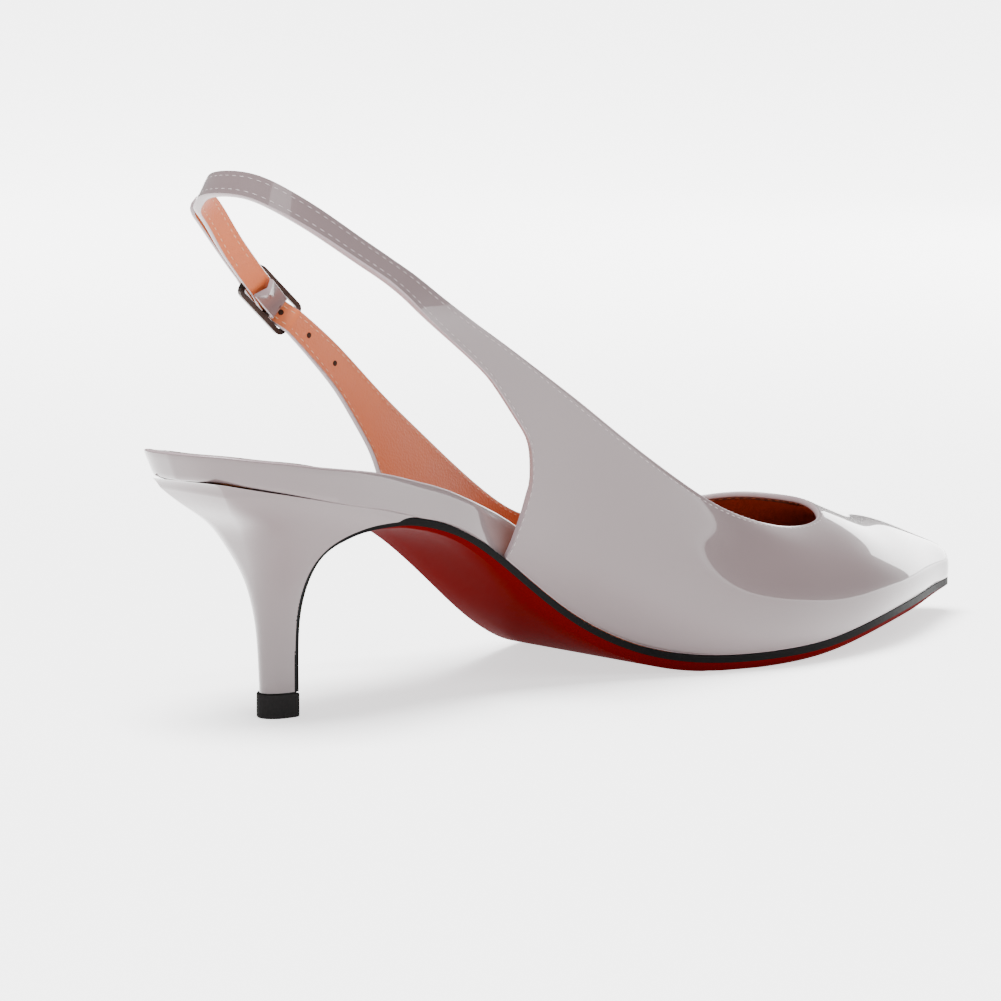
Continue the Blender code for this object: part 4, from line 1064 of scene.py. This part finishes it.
# Heel
# A slim flared heel wrapped in the same patent, its front face covered by the sole and its foot
# set in a black rubber top piece.
TOP_PIECE_OVERHANG = 0.0006
HEEL_COLUMNS = ("breast", "back_along", "back_up", "square", "seat", "crown")
HEEL_ROWS = (
    (8.75, 0.0145, 1.024, 4.0, 1.00, 0.060),
    (8.00, 0.0260, 0.975, 3.6, 0.80, 0.045),
    (7.00, 0.0430, 0.900, 3.2, 0.45, 0.028),
    (6.00, 0.0660, 0.815, 2.9, 0.20, 0.014),
    (5.00, 0.0800, 0.720, 2.6, 0.08, 0.006),
    (4.00, 0.0905, 0.624, 2.4, 0.02, 0.000),
    (3.00, 0.0980, 0.523, 2.3, 0.00, 0.000),
    (2.00, 0.1040, 0.385, 2.3, 0.00, 0.000),
    (1.00, 0.1060, 0.239, 2.3, 0.00, 0.000),
    (0.00, 0.1070, 0.110, 2.3, 0.00, 0.000),
)
heel_at = row_spline(HEEL_COLUMNS, HEEL_ROWS)
seat_spots = np.linspace(0.0, seat_at.last, 2001)
seat_alongs = seat_at(seat_spots)["along"]
rings = []
for number in np.linspace(0.0, heel_at.last, 90):
    ring_row = {name: float(value) for name, value in heel_at(number).items()}
    row, run, rise = sole_line(ring_row["breast"])
    front_x = float(forward(row["along"])) - rise * GAP * 0.1
    front_z = float(upward(row["edge_up"])) + run * GAP * 0.1
    back_x = float(forward(ring_row["back_along"]))
    back_z = float(upward(ring_row["back_up"]))
    width = (float(sideways(row["edge_in"])), float(sideways(row["edge_out"])))
    ring = []
    for angle in np.linspace(0.0, math.pi, 61):
        reach = math.sin(angle) ** 0.85
        inner = angle < math.pi / 2.0
        x = front_x + (back_x - front_x) * reach
        along = (x + TIP_SET) / SHOE_LENGTH
        full = (1.0 - min(reach, 1.0) ** ring_row["square"]) ** 0.5
        half = width[0 if inner else 1] * full
        seat_row = np.interp(along, seat_alongs, seat_spots)
        seat_half = float(seat_at(seat_row)["half_in" if inner else "half_out"])
        seat_side = max(float(sideways(seat_half)) - float(seat_lean(along)) - COVER_LIP, 0.0)
        half = half + (seat_side - half) * max(ring_row["seat"], 0.0)
        crown = float(upward(ring_row["crown"])) * 4.0 * reach * (1.0 - reach)
        height = front_z + (back_z - front_z) * reach + crown
        side = -half if inner else half
        ceiling = float(upward(seat_height(along, "bottom"))) + float(seat_tip(x, side)) - GAP * 0.2
        close = min(max((ring_row["seat"] - 0.8) / 0.2, 0.0), 1.0)
        height = min(height, ceiling)
        ring.append((x, side, height + (ceiling - height) * close))
    rings.append(ring)
rings.append([(x, side, TOP_PIECE_HEIGHT + 0.0001) for x, side, _height in rings[-1]])
heel = skin("heel_dressed", rings, (patent,))
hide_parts("heel")

rubber, shader, place = finish("tip_rubber", IOR=1.08)
crumb = speckle(place, 1400.0, 4.0)
feed(shader, "Base Color", between(crumb, (0.010, 0.0095, 0.0095), (0.016, 0.015, 0.015)))
feed(shader, "Roughness", 0.5 + 0.2 * crumb)
feed(shader, "Normal", relief(crumb, 0.4, 0.00006))

row = sole_at(0.0)
front = float(forward(row["along"])) + TOP_PIECE_OVERHANG
back = float(forward(HEEL_ROWS[-1][1])) - TOP_PIECE_OVERHANG
half = float(sideways(row["edge_in"])) + TOP_PIECE_OVERHANG
levels = (
    (0.0, 0.0004),
    (0.00012, 0.00015),
    (0.0004, 0.0),
    (TOP_PIECE_HEIGHT - 0.0002, 0.0),
    (TOP_PIECE_HEIGHT, 0.0002),
    (TOP_PIECE_HEIGHT + 0.0002, 0.0008),
)
rings = []
for height, shrink in levels:
    ring = []
    for angle in np.linspace(0.0, math.pi, 49):
        reach = math.sin(angle)
        x = front - shrink + (back - front + 2.0 * shrink) * reach
        side = (half - shrink) * (1.0 - min(reach, 1.0) ** 2.6) ** 0.5
        ring.append((x, -side if angle < math.pi / 2.0 else side, height))
    rings.append(ring)
tip = skin("top_piece_dressed", rings, (rubber,))
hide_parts("top_piece")

# Buckle
# A small oblong frame of dark gunmetal with a centre bar; the prong is bent round that bar and
# rests on the front one.
gunmetal, shader, place = finish("gunmetal", Metallic=1.0)
wear = speckle(place, 260.0, 4.0)
feed(shader, "Base Color", between(wear, (0.020, 0.016, 0.015), (0.060, 0.042, 0.036)))
feed(shader, "Roughness", 0.16 + 0.18 * wear)
for name in ("buckle_frame", "buckle_prong"):
    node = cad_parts[name]
    node.data.materials.clear()
    node.data.materials.append(gunmetal)

# Floor, light and camera
# A white light-table sweep under soft boxes: a broad one overhead that throws the soft shadow,
# one low beyond the toe that draws the gloss along the vamp, and a weak one in front.
# It glows less round the shoe, so that the soft shadow shows there.
FLOOR_REACH = 6.0
DIM_WITHIN = 0.15
BRIGHT_FROM = 1.3
paper, shader, place = finish("paper", Roughness=0.9, Specular_IOR_Level=0.05,
                              Emission_Strength=4.5)
tone = speckle(place, 3.0)
feed(shader, "Base Color", between(tone, (0.88, 0.88, 0.88), (0.90, 0.90, 0.90)))
far = place.node("ShaderNodeVectorMath", {"operation": "LENGTH"}, {0: place}, 1)
fade = far.node("ShaderNodeMapRange", {"interpolation_type": "SMOOTHSTEP"},
                {"Value": far, "From Min": DIM_WITHIN, "From Max": BRIGHT_FROM})
feed(shader, "Emission Color", between(fade, (0.28, 0.28, 0.28), (1.0, 1.0, 1.0)))
floor_body = bmesh.new()
bmesh.ops.create_grid(floor_body, x_segments=1, y_segments=1, size=FLOOR_REACH)
floor_mesh = bpy.data.meshes.new("floor")
floor_body.to_mesh(floor_mesh)
floor_body.free()
floor_mesh.materials.append(paper)
floor = bpy.data.objects.new("floor", floor_mesh)
bpy.context.scene.collection.objects.link(floor)
floor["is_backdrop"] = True

world = bpy.data.worlds.new("studio")
world.use_nodes = True
world.node_tree.nodes["Background"].inputs["Color"].default_value = (1.0, 1.0, 1.0, 1.0)
world.node_tree.nodes["Background"].inputs["Strength"].default_value = 0.6
bpy.context.scene.world = world


def soft_box(name, spot, target, width, height, glow):
    """A soft box of a given size and brightness, turned to its target."""
    light = bpy.data.lights.new(name, "AREA")
    light.shape = "RECTANGLE"
    light.size = width
    light.size_y = height
    light.energy = glow * math.pi * width * height
    lamp = bpy.data.objects.new(name, light)
    lamp.location = spot
    aim = Vector(target) - Vector(spot)
    lamp.rotation_euler = aim.to_track_quat("-Z", "Y").to_euler()
    bpy.context.scene.collection.objects.link(lamp)


soft_box("top_box", (-0.20, 0.10, 1.7), (0.06, 0.0, 0.03), 1.0, 1.0, 36.0)
soft_box("toe_box", (1.20, 0.34, 0.22), (0.15, 0.0, 0.04), 0.6, 0.40, 9.0)
soft_box("front_box", (-0.5, -1.2, 1.5), (0.08, 0.0, 0.03), 0.8, 0.8, 4.0)

# The camera, found from marks in the photo
VIEW_FROM = (-0.7595, -0.887, 0.220)
TURN = math.radians(43.08)
DIP = math.radians(8.34)
SENSOR = 36.0
LENS = 190.3
ahead = Vector((math.sin(TURN) * math.cos(DIP), math.cos(TURN) * math.cos(DIP), -math.sin(DIP)))
right = Vector((math.cos(TURN), -math.sin(TURN), 0.0))
overhead = right.cross(ahead)
lens = bpy.data.cameras.new("view")
lens.sensor_width = SENSOR
lens.lens = LENS
lens.clip_end = 50.0
viewer = bpy.data.objects.new("view", lens)
turn = Matrix((right, overhead, -ahead)).transposed().to_4x4()
viewer.matrix_world = Matrix.Translation(VIEW_FROM) @ turn
bpy.context.scene.collection.objects.link(viewer)
bpy.context.scene.camera = viewer

low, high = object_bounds()
